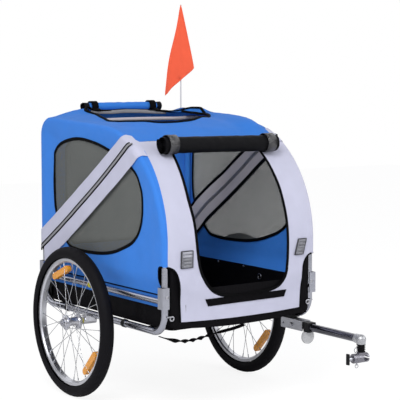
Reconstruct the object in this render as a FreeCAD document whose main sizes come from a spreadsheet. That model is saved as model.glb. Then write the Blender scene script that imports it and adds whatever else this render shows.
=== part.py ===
import FreeCAD, Part
import Sketcher
import math
import os
import re
from FreeCAD import Placement, Rotation, Vector

# Dog bike trailer, in millimetres. Front is -Y, the trailer's left side is +X, the ground is Z = 0.
# Every position along Y is counted from the wheel axle, and each finished part is then moved by axle_y.

doc = FreeCAD.newDocument("dog_bike_trailer")
sheet = doc.addObject("Spreadsheet::Sheet", "dims")

SIZES = [
    ("axle_y", 219.25, "axle position in the shared frame"),
    ("wheel_diameter", 494, "outside of a 20 x 1.75 tyre"),
    ("tyre_section", 44.5, "tyre cross section"),
    ("tyre_wall", 3.5, "tyre carcass thickness"),
    ("rim_diameter", 418, "outside of the rim flanges"),
    ("rim_width", 25, "across the rim flanges"),
    ("rim_depth", 13, "flange edge to spoke bed"),
    ("rim_wall", 3, "rim material thickness"),
    ("hub_length", 66, "hub shell end to end"),
    ("hub_flange_gap", 46, "between flange centres"),
    ("hub_flange_diameter", 50, "spoke flange"),
    ("hub_flange_thickness", 3.4, "spoke flange"),
    ("hub_barrel_diameter", 30, "hub shell"),
    ("axle_diameter", 12, "pull-out axle"),
    ("axle_head_diameter", 24, "axle cap outside the hub"),
    ("running_gap", 0.06, "radial play of a turning or sliding fit"),
    ("side_play", 0.4, "end play between turning pieces"),
    ("spoke_count", 28, "spokes in a wheel"),
    ("spoke_diameter", 2, "plain gauge wire"),
    ("nipple_diameter", 4, "spoke nipple"),
    ("nipple_length", 12, "spoke nipple"),
    ("track_width", 689, "between wheel centre planes"),
    ("rail_spacing", 574, "between side frame centre planes"),
    ("rail_diameter", 22, "bottom rail tube"),
    ("tube_wall", 1.5, "frame tube wall"),
    ("rail_height", 272, "bottom rail centre above the ground"),
    ("rail_bend", 60, "bend radius of the upturned rail ends"),
    ("mid_rail_diameter", 19, "upper side rail"),
    ("mid_rail_drop", 17, "upper side rail below the fold rivets"),
    ("cross_diameter", 19, "cross tubes"),
    ("cross_front", 366, "front cross tube ahead of the axle"),
    ("cross_rear", 196, "rear cross tube behind the axle"),
    ("frame_front", 472, "front uprights ahead of the axle"),
    ("frame_rear", 283, "rear uprights behind the axle"),
    ("nest_step", 22, "left hoop sits this far inside the right one"),
    ("hinge_height", 386, "fold rivets above the ground"),
    ("hoop_diameter", 20, "folding hoop tube"),
    ("hoop_curve", 362, "front curve radius of the hoop"),
    ("hoop_corner", 50, "rear top corner radius of the hoop"),
    ("roof_front_height", 867, "roof line over the front uprights"),
    ("roof_slope", 2.5, "roof line, degrees"),
    ("rivet_diameter", 6, "fold rivet"),
    ("channel_plate", 2.5, "hinge channel sheet"),
    ("channel_width", 25, "hinge channel face"),
    ("channel_height", 66, "hinge channel"),
    ("weld_gap", 0.1, "fit of a welded joint"),
    ("cover_gap", 0.5, "cover to hoop tube"),
    ("cover_cloth", 2, "coated cover cloth with its lining"),
    ("roof_crown", 20, "roof bow across the trailer"),
    ("front_hem", 285, "lower edge of the front panel"),
    ("side_hem", 384, "lower edge of the side panels"),
    ("seam_front", 262, "front panel to roof seam ahead of the axle"),
    ("seam_rear", 6, "roof to back panel seam below the rear top corner"),
    ("window_length", 566, "side window"),
    ("window_height", 366, "side window"),
    ("window_y", -79, "side window centre"),
    ("window_z", 662, "side window centre"),
    ("mesh_cloth", 1.2, "window mesh"),
    ("mesh_lap", 8, "window mesh beyond its opening"),
    ("band_width", 109, "white side band"),
    ("band_angle", 32.8, "white side band slope, degrees"),
    ("band_y", -14, "white side band centre line point"),
    ("band_z", 684, "white side band centre line point"),
    ("door_width", 372, "front door opening"),
    ("door_sill", 363, "front door opening, lowest point"),
    ("door_top", 806, "front door opening, top edge under the roll"),
    ("notch_width", 58, "corner cut-out of the cover in from the side"),
    ("notch_side", 28, "corner cut-out of the cover in from the front or the back"),
    ("notch_height", 478, "corner cut-out of the cover, top"),
    ("hatch_width", 404, "roof hatch"),
    ("hatch_front", 163, "roof hatch edge ahead of the axle"),
    ("hatch_rear", 214, "roof hatch edge behind the axle"),
    ("hatch_corner", 110, "roof hatch corner radius"),
    ("door_roll_diameter", 52, "rolled front door cover"),
    ("door_roll_length", 444, "rolled front door cover"),
    ("door_roll_angle", 52, "where the roll lies on the front curve, degrees"),
    ("hatch_roll_diameter", 38, "rolled hatch cover"),
    ("hatch_roll_length", 314, "rolled hatch cover"),
    ("hatch_roll_y", 246, "rolled hatch cover behind the axle"),
    ("tub_cloth", 2, "black lower tub"),
    ("tub_gap", 3, "tub wall to the bottom rail tubes"),
    ("tub_drop", 20, "top of the tub wall below the fold rivets"),
    ("lining_rise", 16, "top of the soft lining above the fold rivets"),
    ("tub_skirt", 275, "front skirt of the tub, lowest edge"),
    ("board_thickness", 6, "floor board"),
    ("roof_bar_diameter", 12, "bowed roof bar"),
    ("roof_bar_front", 226, "front roof bar ahead of the axle"),
    ("roof_bar_rear", 160, "rear roof bar behind the axle"),
    ("patch_width", 43, "front reflector patch"),
    ("patch_height", 48, "front reflector patch"),
    ("patch_thickness", 5, "front reflector patch"),
    ("patch_x", 217, "front reflector patch from the centre plane"),
    ("patch_z", 500, "front reflector patch centre"),
    ("hook_length", 324, "hook strip under the door"),
    ("hook_x", 18, "hook strip, its middle to the left of the centre plane"),
    ("hook_height", 24, "hook strip under the door"),
    ("hook_cloth", 1.5, "hook strip under the door"),
    ("eye_inset", 16, "tub eye in from the front upright"),
    ("clip_front", 246, "front tub clip ahead of the axle"),
    ("clip_rear", 120, "rear tub clip behind the axle"),
    ("clip_width", 13, "tub clip"),
    ("plate_length", 110, "spoke reflector"),
    ("plate_width", 21, "spoke reflector"),
    ("plate_inset", 27, "spoke reflector centre in from the spoke bed"),
    ("arm_x", 268, "tow arm to the left of centre"),
    ("arm_height", 238.5, "tow arm centre"),
    ("arm_diameter", 25, "tow arm tube"),
    ("arm_pivot", 404, "tow arm pivot ahead of the axle"),
    ("arm_reach", 735, "hitch axis ahead of the axle"),
    ("bracket_rear", 350, "tow bracket, rear end"),
    ("bracket_front", 462, "tow bracket, front end"),
    ("bracket_plate", 3, "tow bracket sheet"),
    ("bracket_drop", 15, "tow bracket below the arm centre"),
    ("bolt_diameter", 8, "tow arm pivot bolt"),
    ("collar_size", 31, "black collar on the arm"),
    ("elbow_diameter", 29, "cast elbow"),
    ("flex_diameter", 28, "rubber flex joint"),
    ("flex_height", 25, "rubber flex joint"),
    ("clamp_length", 60, "hitch clamp barrel"),
    ("clamp_diameter", 30, "hitch clamp barrel"),
    ("clamp_bore", 18, "chainstay tube the hitch clamps"),
    ("clamp_slot", 5, "clamp split"),
    ("screw_diameter", 8, "clamp screw"),
    ("disc_diameter", 48, "clear front reflector"),
    ("pole_diameter", 5, "flag pole"),
    ("pole_top", 1304, "flag pole top"),
    ("pole_y", 304, "flag pole behind the axle"),
    ("flag_height", 324, "pennant, top to lowest corner"),
    ("flag_middle", 226, "pennant, top to its outer corner"),
    ("flag_out", 50, "pennant, outer corner from the pole"),
    ("flag_in", 74, "pennant, lowest corner from the pole"),
    ("strap_diameter", 12, "hanging safety strap, bunched webbing"),
]
for row, (name, value, note) in enumerate(SIZES, start=1):
    sheet.set(f"A{row}", name)
    sheet.set(f"B{row}", str(value))
    sheet.setAlias(f"B{row}", name)
    sheet.set(f"C{row}", note)
doc.recompute()


class Sizes:
    """The sheet's values by name, for shapes that no primitive fits."""


d = Sizes()
for name, _, _ in SIZES:
    setattr(d, name, float(sheet.get(name)))

WORDS = re.compile(r"\b(" + "|".join(name for name, _, _ in SIZES) + r")\b")
NODES = []


# Helpers: a primitive takes its sizes as sheet expressions, so it follows the sheet.
def linked(text):
    return WORDS.sub(r"dims.\1", str(text))


def bind(obj, **expressions):
    for prop, text in expressions.items():
        obj.setExpression(prop.replace("__", "."), linked(text))
    return obj


TURNS = {
    "x": Rotation(Vector(0, 1, 0), 90),
    "y": Rotation(Vector(1, 0, 0), -90),
    "z": Rotation(),
}


SPINS = {
    "x": Rotation(),
    "y": Rotation(Vector(0, 0, 1), 90),
    "z": Rotation(Vector(0, 1, 0), -90),
}


def value(text):
    """An expression's value in the sheet's units."""
    return float(doc.dims.evalExpression(linked(text)))


def seat(obj, x, y, z, axis="z"):
    obj.Placement = Placement(Vector(), TURNS[axis])
    return bind(obj, Placement__Base__x=x, Placement__Base__y=y, Placement__Base__z=z)


def rod(radius, length, x, y, z, axis):
    obj = doc.addObject("Part::Cylinder", "rod")
    bind(obj, Radius=radius, Height=length)
    return seat(obj, x, y, z, axis)


def block(x, y, z, length, width, height):
    obj = doc.addObject("Part::Box", "block")
    bind(obj, Length=length, Width=width, Height=height)
    return seat(obj, x, y, z)


def ball(radius, x, y, z):
    return seat(bind(doc.addObject("Part::Sphere", "ball"), Radius=radius), x, y, z)


def ring(radius, wire, x, y, z, axis):
    obj = doc.addObject("Part::Torus", "ring")
    bind(obj, Radius1=radius, Radius2=wire)
    return seat(obj, x, y, z, axis)


def joined(*shapes):
    obj = doc.addObject("Part::MultiFuse", "joined")
    obj.Shapes = list(shapes)
    obj.Refine = True
    return obj


def minus(base, *tools):
    obj = doc.addObject("Part::Cut", "cut")
    obj.Base = base
    obj.Tool = tools[0] if len(tools) == 1 else joined(*tools)
    return obj


def shaped(shape):
    obj = doc.addObject("Part::Feature", "form")
    obj.Shape = shape
    return obj


def node(label, *shapes):
    obj = doc.addObject("Part::Compound", label)
    obj.Links = list(shapes)
    obj.Label = label
    bind(obj, Placement__Base__y="axle_y")
    NODES.append(obj)
    return obj


def turned(section, x, y, z, axis="x"):
    """A body revolved from its half section, given as (along the axis, radius) pairs of expressions."""
    body = doc.addObject("PartDesign::Body", "turned")
    sketch = body.newObject("Sketcher::SketchObject", "section")
    plane = next(f for f in body.Origin.OriginFeatures if f.Role == "XY_Plane")
    sketch.AttachmentSupport = [(plane, "")]
    sketch.MapMode = "FlatFace"
    rough = [Vector(value(along), value(radius), 0) for along, radius in section]
    last = len(rough) - 1
    for i, point in enumerate(rough):
        sketch.addGeometry(Part.LineSegment(point, rough[0 if i == last else i + 1]))
    for i in range(len(rough)):
        sketch.addConstraint(Sketcher.Constraint("Coincident", i, 2, 0 if i == last else i + 1, 1))
    for i, pair in enumerate(section):
        for kind, text in zip(("DistanceX", "DistanceY"), pair):
            at = sketch.addConstraint(Sketcher.Constraint(kind, -1, 1, i, 1, value(text)))
            sketch.setExpression(f"Constraints[{at}]", linked(text))
    turn = body.newObject("PartDesign::Revolution", "turn")
    turn.Profile = sketch
    turn.ReferenceAxis = (sketch, ["H_Axis"])
    turn.Angle = 360
    body.Placement = Placement(Vector(), SPINS[axis])
    return bind(body, Placement__Base__x=x, Placement__Base__y=y, Placement__Base__z=z)


# Helpers for the two sides: s is -1 on the right and +1 on the left.
SIDES = (("right", -1, "0"), ("left", 1, "nest_step"))
HALF = "rail_spacing / 2"


def rod_out(radius, inner, outer, y, z, s):
    """A rod along X between two distances from the centre plane."""
    start = f"{inner}" if s > 0 else f"-({outer})"
    return rod(radius, f"({outer}) - ({inner})", start, y, z, "x")


def block_out(inner, outer, y, z, width, height, s):
    """A block between two distances from the centre plane."""
    start = f"{inner}" if s > 0 else f"-({outer})"
    return block(start, y, z, f"({outer}) - ({inner})", width, height)


# Helpers for bent tubes and cloth.
def rounded_path(points, radii):
    """A wire through the points, with each inner corner rounded by its radius."""
    edges = []
    start = points[0]
    for i in range(1, len(points) - 1):
        back = (points[i - 1] - points[i]).normalize()
        ahead = (points[i + 1] - points[i]).normalize()
        half = math.acos(max(-1.0, min(1.0, back.dot(ahead)))) / 2
        reach = radii[i - 1] / math.tan(half)
        first = points[i] + back * reach
        last = points[i] + ahead * reach
        bisector = (back + ahead).normalize()
        centre = points[i] + bisector * (radii[i - 1] / math.sin(half))
        middle = centre - bisector * radii[i - 1]
        edges.append(Part.makeLine(start, first))
        edges.append(Part.Arc(first, middle, last).toShape())
        start = last
    edges.append(Part.makeLine(start, points[-1]))
    return Part.Wire(edges)


def swept(path, radius):
    edge = path.Edges[0]
    start = edge.valueAt(edge.FirstParameter)
    tangent = edge.tangentAt(edge.FirstParameter)
    return path.makePipe(Part.Face(Part.Wire(Part.makeCircle(radius, start, tangent))))


def tube(path, diameter, wall):
    return swept(path, diameter / 2).cut(swept(path, diameter / 2 - wall))


def prism(points, thickness):
    """A closed polygon given in space, extruded by the vector."""
    return Part.Face(Part.makePolygon(points + points[:1])).extrude(thickness)


def smooth_prism(points, thickness):
    curve = Part.BSplineCurve()
    curve.interpolate(points, PeriodicFlag=True)
    return Part.Face(Part.Wire(curve.toShape())).extrude(thickness)


def box_of(x0, x1, y0, y1, z0, z1):
    return Part.makeBox(x1 - x0, y1 - y0, z1 - z0, Vector(x0, y0, z0))


half_rail = d.rail_spacing / 2
hoop_radius = d.hoop_diameter / 2
hoop_tail = d.rivet_diameter / 2 + 6.5
swing = math.hypot(hoop_tail, hoop_radius)
TAIL = "(rivet_diameter / 2 + 6.5)"
SWING = f"sqrt({TAIL} ^ 2 + hoop_diameter ^ 2 / 4)"
WEB = f"({SWING} + channel_plate + 0.7)"
slope = math.radians(d.roof_slope)


# Lower side frames: a bottom rail turned up at both ends, and an upper rail between the ends.
def side_points(inset):
    return -(d.frame_front - inset), d.frame_rear - inset


rail_top = d.hinge_height - swing - 6
rail_turn = min(d.rail_bend, 0.9 * (rail_top - d.rail_height))
GAP = "(rail_diameter + 2 * weld_gap)"
DEPTH = f"({GAP} + 2 * channel_plate)"
HEAD = "rivet_diameter * 0.9"
DOME = "rivet_diameter * 0.5"
RIVET = [
    (f"-{DEPTH} / 2 - 2.4", "0"), (f"-{DEPTH} / 2 - 2.4", DOME), (f"-{DEPTH} / 2 - 0.8", HEAD),
    (f"-{DEPTH} / 2", HEAD), (f"-{DEPTH} / 2", "rivet_diameter / 2"), (f"{DEPTH} / 2", "rivet_diameter / 2"),
    (f"{DEPTH} / 2", HEAD), (f"{DEPTH} / 2 + 0.8", HEAD), (f"{DEPTH} / 2 + 2.4", DOME), (f"{DEPTH} / 2 + 2.4", "0"),
]
channels = []
rivets = []
for side, s, inset in SIDES:
    front, rear = side_points(d.nest_step if s > 0 else 0)
    x = s * half_rail
    path = rounded_path(
        [
            Vector(x, front, rail_top),
            Vector(x, front, d.rail_height),
            Vector(x, rear, d.rail_height),
            Vector(x, rear, rail_top),
        ],
        [rail_turn, rail_turn],
    )
    node(f"rail_{side}", shaped(tube(path, d.rail_diameter, d.tube_wall)))

    front_y = f"(-(frame_front - {inset}))"
    rear_y = f"(frame_rear - {inset})"
    start = f"{front_y} + {DEPTH} / 2"
    span = f"{rear_y} - {front_y} - {DEPTH}"
    place = (f"{s} * {HALF}", start, "hinge_height - mid_rail_drop", "y")
    outer = rod("mid_rail_diameter / 2", span, *place)
    inner = rod("mid_rail_diameter / 2 - tube_wall", span, *place)
    node(f"mid_rail_{side}", minus(outer, inner))

    for y in (front_y, rear_y):
        foot = "hinge_height + 29 - channel_height"
        body = block_out(
            f"{HALF} + {WEB} - channel_width", f"{HALF} + {WEB}",
            f"{y} - {DEPTH} / 2", foot, DEPTH, "channel_height", s,
        )
        inside = block_out(
            f"{HALF} + {WEB} - channel_width - 1", f"{HALF} + {WEB} - channel_plate",
            f"{y} - {GAP} / 2", f"{foot} - 1", GAP, "channel_height + 2", s,
        )
        at = (f"{s} * {HALF}", f"{y} - {DEPTH} / 2 - 1", "hinge_height", "y")
        channels.append(minus(body, inside, rod("rivet_diameter / 2", f"{DEPTH} + 2", *at)))
        rivets.append(turned(RIVET, f"{s} * {HALF}", y, "hinge_height", "y"))
node("hinge_channels", *channels)
node("hinge_rivets", *rivets)

# Cross tubes, coped to the rails.
cross = []
for y in ("-cross_front", "cross_rear"):
    rails = [
        rod("rail_diameter / 2", "1200", f"{s} * {HALF}", "-600", "rail_height", "y") for s in (-1, 1)
    ]
    outer = rod("cross_diameter / 2", "rail_spacing", f"-{HALF}", y, "rail_height", "x")
    inner = rod("cross_diameter / 2 - tube_wall", "rail_spacing", f"-{HALF}", y, "rail_height", "x")
    cross.append(minus(outer, inner, *rails))
node("cross_tubes", *cross)

# Folding hoops: one bent tube a side, turning on the rivets.
def hoop_path(front, rear, foot, offset, x):
    """The hoop's line in its plane, moved outwards by an offset."""
    front -= offset
    rear += offset
    base = d.roof_front_height + offset / math.cos(slope)
    lead = d.frame_front
    z_front = base + (front + lead) * math.tan(slope)
    z_rear = base + (rear + lead) * math.tan(slope)
    return rounded_path(
        [Vector(x, front, foot), Vector(x, front, z_front), Vector(x, rear, z_rear), Vector(x, rear, foot)],
        [d.hoop_curve + offset, d.hoop_corner + offset],
    )


for side, s, inset in SIDES:
    front, rear = side_points(d.nest_step if s > 0 else 0)
    x = s * half_rail
    form = tube(hoop_path(front, rear, d.hinge_height - hoop_tail, 0, x), d.hoop_diameter, d.tube_wall)
    hole = Part.makeCylinder(
        d.rivet_diameter / 2 + d.running_gap, rear - front + 80,
        Vector(x, front - 40, d.hinge_height), Vector(0, 1, 0),
    )
    node(f"side_hoop_{side}", shaped(form.cut(hole)))

# Axle receivers under the bottom rails, with a bushing at the mouth.
WHEEL_Z = "wheel_diameter / 2"
HUB_IN = "(track_width / 2 - hub_length / 2)"
MOUTH = f"({HUB_IN} - side_play - 5)"
receivers = []
bushings = []
for side, s, inset in SIDES:
    shell = rod_out("axle_diameter", f"{HALF} - 30", MOUTH, "0", WHEEL_Z, s)
    saddle = block_out(f"{HALF} - 22", f"{HALF} + 12", "-12", WHEEL_Z, "24", f"rail_height - {WHEEL_Z}", s)
    bore = rod_out("axle_diameter / 2 + running_gap", f"{HALF} - 40", f"{MOUTH} + 10", "0", WHEEL_Z, s)
    rail = rod("rail_diameter / 2", "100", f"{s} * {HALF}", "-50", "rail_height", "y")
    receivers.append(minus(joined(shell, saddle), bore, rail))
    collar = rod_out("axle_diameter * 0.8", MOUTH, f"{MOUTH} + 5", "0", WHEEL_Z, s)
    bore = rod_out("axle_diameter / 2 + running_gap", f"{MOUTH} - 5", f"{MOUTH} + 10", "0", WHEEL_Z, s)
    bushings.append(minus(collar, bore))
node("axle_receivers", *receivers)
node("axle_bushings", *bushings)


# Wheels: tyre, rim, laced spokes, hub and spoke reflectors, on a pull-out axle.
def laced_spokes(x, s):
    """Two-cross lacing: leading and trailing spokes leave opposite faces of each flange and pass clear."""
    count = int(d.spoke_count) // 2
    step = 2 * math.pi / count
    radius = d.spoke_diameter / 2
    hole_circle = d.hub_flange_diameter / 2 - 4
    bed = d.rim_diameter / 2 - d.rim_depth
    face = d.hub_flange_thickness / 2 + radius
    wires = []
    for flange in (-1, 1):
        for i in range(count):
            lead = 1 if i % 2 == 0 else -1
            turn = step * i + (step / 2 if flange > 0 else 0)
            end = turn + lead * 2 * step
            flange_x = x + flange * d.hub_flange_gap / 2 + lead * face
            rim_x = x + flange * 3.2 + lead * (radius + 0.3)
            z = d.wheel_diameter / 2
            a = Vector(flange_x, hole_circle * math.cos(turn), z + hole_circle * math.sin(turn))
            b = Vector(rim_x, bed * math.cos(end), z + bed * math.sin(end))
            along = (b - a).normalize()
            wire = Part.makeCylinder(radius, (b - a).Length, a, along)
            tip = b - along * d.nipple_length
            nipple = Part.makeCylinder(d.nipple_diameter / 2, d.nipple_length, tip, along)
            head = Part.makeCylinder(radius * 1.9, 1.6, a - along * 1.6, along)
            wires.append(wire.fuse([nipple, head]).removeSplitter())
    return Part.makeCompound(wires)


EDGE = "rim_width / 2"
LIP = "(rim_diameter / 2)"
BED = "(rim_diameter / 2 - rim_depth)"
RIM = [
    (f"-{EDGE}", LIP), (f"-{EDGE}", f"{BED} + 4"), (f"-{EDGE} + 5", BED), (f"{EDGE} - 5", BED),
    (EDGE, f"{BED} + 4"), (EDGE, LIP), (f"{EDGE} - rim_wall / 2", LIP), (f"{EDGE} - rim_wall", f"{LIP} - 3"),
    (f"{EDGE} - rim_wall", f"{BED} + 4 + rim_wall / 2"), (f"{EDGE} - 7", f"{BED} + rim_wall"),
    (f"-{EDGE} + 7", f"{BED} + rim_wall"), (f"-{EDGE} + rim_wall", f"{BED} + 4 + rim_wall / 2"),
    (f"-{EDGE} + rim_wall", f"{LIP} - 3"), (f"-{EDGE} + rim_wall / 2", LIP),
]
HUB_BORE = "axle_diameter / 2 + running_gap"
FLANGE_IN = "hub_flange_gap / 2 - hub_flange_thickness / 2"
FLANGE_OUT = "hub_flange_gap / 2 + hub_flange_thickness / 2"
HUB_HALF = [
    ("3", "hub_barrel_diameter / 2 - 2"), (f"{FLANGE_IN} - 4", "hub_barrel_diameter / 2"),
    (FLANGE_IN, "hub_barrel_diameter / 2 + 3"), (FLANGE_IN, "hub_flange_diameter / 2"),
    (FLANGE_OUT, "hub_flange_diameter / 2"), (FLANGE_OUT, "hub_barrel_diameter / 2 + 1"),
    ("hub_length / 2 - 2", "hub_barrel_diameter / 2"), ("hub_length / 2", "hub_barrel_diameter / 2 - 2"),
    ("hub_length / 2", HUB_BORE),
]
HUB = HUB_HALF + [(f"-({along})", radius) for along, radius in reversed(HUB_HALF)]
CAP = "track_width / 2 + hub_length / 2 + side_play"
AXLE = [
    (f"{HALF} - 27", "0"), (f"{HALF} - 27", "axle_diameter / 2 - 1"), (f"{HALF} - 26", "axle_diameter / 2"),
    (CAP, "axle_diameter / 2"), (CAP, "axle_head_diameter / 2"), (f"{CAP} + 4.5", "axle_head_diameter / 2"),
    (f"{CAP} + 6", "axle_head_diameter / 2 - 1.5"), (f"{CAP} + 6", "axle_diameter * 0.4"),
    (f"{CAP} + 10", "axle_diameter * 0.4"), (f"{CAP} + 10", "0"),
]
for side, s, inset in SIDES:
    x = f"{s} * track_width / 2"
    ring_z = "wheel_diameter / 2 - tyre_section / 2"
    carcass = ring(ring_z, "tyre_section / 2", x, "0", WHEEL_Z, "x")
    air = ring(ring_z, "tyre_section / 2 - tyre_wall", x, "0", WHEEL_Z, "x")
    seat_cut = rod("rim_diameter / 2 + 0.1", "tyre_section + 20", f"{x} - tyre_section / 2 - 10", "0", WHEEL_Z, "x")
    node(f"tyre_{side}", minus(carcass, air, seat_cut))

    node(f"rim_{side}", turned(RIM, x, "0", WHEEL_Z))
    node(f"spokes_{side}", shaped(laced_spokes(s * d.track_width / 2, s)))

    node(f"hub_{side}", turned(HUB, x, "0", WHEEL_Z))
    axle = [(f"{s} * ({along})", radius) for along, radius in AXLE]
    node(f"axle_{side}", turned(axle, "0", "0", WHEEL_Z))


# Spoke reflectors: two amber plates a wheel, clipped between the flanges' spokes.
def wheel_reflector(x, degrees):
    bed = d.rim_diameter / 2 - d.rim_depth
    radius = bed - d.plate_inset
    spread = (d.hub_flange_gap / 2 - 3.2) * d.plate_inset / (bed - d.hub_flange_diameter / 2 + 4)
    thick = 4.6 + spread
    long, wide = d.plate_length / 2, d.plate_width / 2
    corners = [(0, -wide), (long, -wide), (long, wide), (-long, wide), (-long, -wide), (0, -wide)]
    rim = rounded_path([Vector(-thick, y, z) for y, z in corners], [0.9 * min(long, wide)] * 4)
    form = Part.Face(rim).extrude(Vector(2 * thick, 0, 0))
    angle = math.radians(degrees)
    centre = Vector(x, radius * math.cos(angle), d.wheel_diameter / 2 + radius * math.sin(angle))
    form.Placement = Placement(centre, Rotation(Vector(1, 0, 0), degrees + 90))
    return form


for side, s, inset in SIDES:
    x = s * d.track_width / 2
    plates = [wheel_reflector(x, 67), wheel_reflector(x, 224)]
    cutters = laced_spokes(x, s)
    node(f"wheel_reflectors_{side}", *[shaped(p.cut(cutters)) for p in plates])

# Frame fittings: eyes on the front uprights, and clips that hold the tub to the bottom rails.
eyes = []
clips = []
for side, s, inset in SIDES:
    y = f"-(frame_front - {inset})"
    ahead = f"({y} - rail_diameter / 2 - 6)"
    eye_z = "(rail_height + rail_bend - 6)"
    lug = block_out(f"{HALF} - eye_inset - 4", f"{HALF} + 2", ahead, f"{eye_z} - 2", "2.6", "4", s)
    shank = rod("2.6", "12", f"{s} * {HALF}", ahead, eye_z, "y")
    rail = rod("rail_diameter / 2", "60", f"{s} * {HALF}", y, f"{eye_z} - 30", "z")
    loop = ring("6.5", "2.3", f"{s} * ({HALF} - eye_inset)", f"{ahead} + 2", f"{eye_z} - 6", "y")
    eyes.append(minus(joined(shank, lug, loop), rail))
    for y in ("-clip_front", "clip_rear"):
        band = rod("rail_diameter / 2 + 2.2", "clip_width", f"{s} * {HALF}", y, "rail_height", "y")
        bore = rod("rail_diameter / 2", "clip_width + 2", f"{s} * {HALF}", f"{y} - 1", "rail_height", "y")
        clips.append(minus(band, bore))
node("tub_eyes", *eyes)
node("rail_clips", *clips)

# Lines across the trailer: the left side frame sits nest_step inside the right one at both ends.
front_line, rear_line = side_points(0)


def fore(x):
    """The front uprights' line at a distance from the centre plane."""
    return front_line + d.nest_step * (x + half_rail) / d.rail_spacing


def aft(x):
    """The rear uprights' line at a distance from the centre plane."""
    return rear_line - d.nest_step * (x + half_rail) / d.rail_spacing


def plan(x0, x1, inset, foot, top):
    """An upright prism between the front and rear cover faces, drawn in by an inset."""
    corners = [
        Vector(x0, fore(x0) - hoop_radius + inset, foot), Vector(x1, fore(x1) - hoop_radius + inset, foot),
        Vector(x1, aft(x1) + hoop_radius - inset, foot), Vector(x0, aft(x0) + hoop_radius - inset, foot),
    ]
    return prism(corners, Vector(0, 0, top - foot))


def front_strip(x0, x1, inner, outer, foot, top):
    """A flat piece along the front face, between two distances ahead of the uprights."""
    corners = [
        Vector(x0, fore(x0) - inner, foot), Vector(x1, fore(x1) - inner, foot),
        Vector(x1, fore(x1) - outer, foot), Vector(x0, fore(x0) - outer, foot),
    ]
    return prism(corners, Vector(0, 0, top - foot))


# Floor and black tub, which rest on the cross tubes.
TUB_FLOOR = "(rail_height + cross_diameter / 2 + 0.2)"
tub_half = half_rail - d.rail_diameter / 2 - d.tub_gap
tub_in = tub_half - d.tub_cloth
tub_floor = d.rail_height + d.cross_diameter / 2 + 0.2
tub_top = d.hinge_height - d.tub_drop
tub = plan(-tub_half, tub_half, 0, tub_floor, tub_top)
tub = tub.cut(plan(-tub_in, tub_in, d.tub_cloth, tub_floor + d.tub_cloth, tub_top + 1))
skirt = front_strip(-tub_half, tub_half, hoop_radius - d.tub_cloth, hoop_radius, d.tub_skirt, tub_floor + 20)
node("lower_tub", shaped(tub.fuse(skirt).removeSplitter()))

# Soft lining that carries on above the tub, taller at the four corners behind the uprights.
lining_foot = tub_top + 0.2
lining_top = d.hinge_height + d.lining_rise
corner_top = d.notch_height + 8
lining = plan(-tub_half, tub_half, 0, lining_foot, corner_top)
lining = lining.cut(plan(-tub_in, tub_in, d.tub_cloth, lining_foot - 1, corner_top + 1))
clear = tub_half - d.notch_width
cut_across = box_of(-clear, clear, front_line - 200, rear_line + 200, lining_top, corner_top + 1)
clear_front, clear_rear = fore(half_rail) + d.notch_width, aft(half_rail) - d.notch_width
cut_along = box_of(-400, 400, clear_front, clear_rear, lining_top, corner_top + 1)
node("upper_lining", shaped(lining.cut(cut_across).cut(cut_along)))
margin = d.tub_cloth + 0.3
board_foot = tub_floor + d.tub_cloth + 0.1
board = plan(-tub_half + margin, tub_half - margin, margin, board_foot, board_foot + d.board_thickness)
node("floor_board", shaped(board))


# Cover: side panels with mesh windows and white bands, front with the door, roof with the hatch, back.
near = hoop_radius + d.cover_gap
far = near + d.cover_cloth
panel_in = half_rail + near
panel_out = half_rail + far


def outline(offset, foot, x, s):
    """The face inside a side's hoop line."""
    path = hoop_path(fore(s * half_rail), aft(s * half_rail), foot, offset, x)
    ends = path.OrderedVertexes
    closing = Part.makeLine(ends[-1].Point, ends[0].Point)
    return Part.Face(Part.Wire(path.OrderedEdges + [closing]))


def section(x, foot):
    """The cover's section at a distance from the centre plane, a thin band round the hoop line."""
    outer = hoop_path(fore(x), aft(x), foot, far, x)
    inner = hoop_path(fore(x), aft(x), foot, near, x)
    outer_ends = [v.Point for v in outer.OrderedVertexes]
    inner_ends = [v.Point for v in inner.OrderedVertexes]
    feet = [Part.makeLine(outer_ends[0], inner_ends[0]), Part.makeLine(outer_ends[-1], inner_ends[-1])]
    return Part.Wire(Part.__sortEdges__(outer.OrderedEdges + inner.OrderedEdges + feet))


WINDOW = [
    (0.500, 0.279), (0.486, 0.372), (0.399, 0.451), (0.219, 0.500), (0.046, 0.484), (-0.120, 0.426),
    (-0.387, 0.284), (-0.470, 0.148), (-0.500, -0.016), (-0.479, -0.189), (-0.405, -0.328), (-0.277, -0.418),
    (-0.136, -0.475), (0.021, -0.500), (0.230, -0.500), (0.348, -0.445), (0.493, -0.139),
]


def window(x, grow, thickness):
    points = [
        Vector(x, d.window_y + u * (d.window_length + 2 * grow), d.window_z + v * (d.window_height + 2 * grow))
        for u, v in WINDOW
    ]
    return smooth_prism(points, Vector(thickness, 0, 0))


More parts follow.
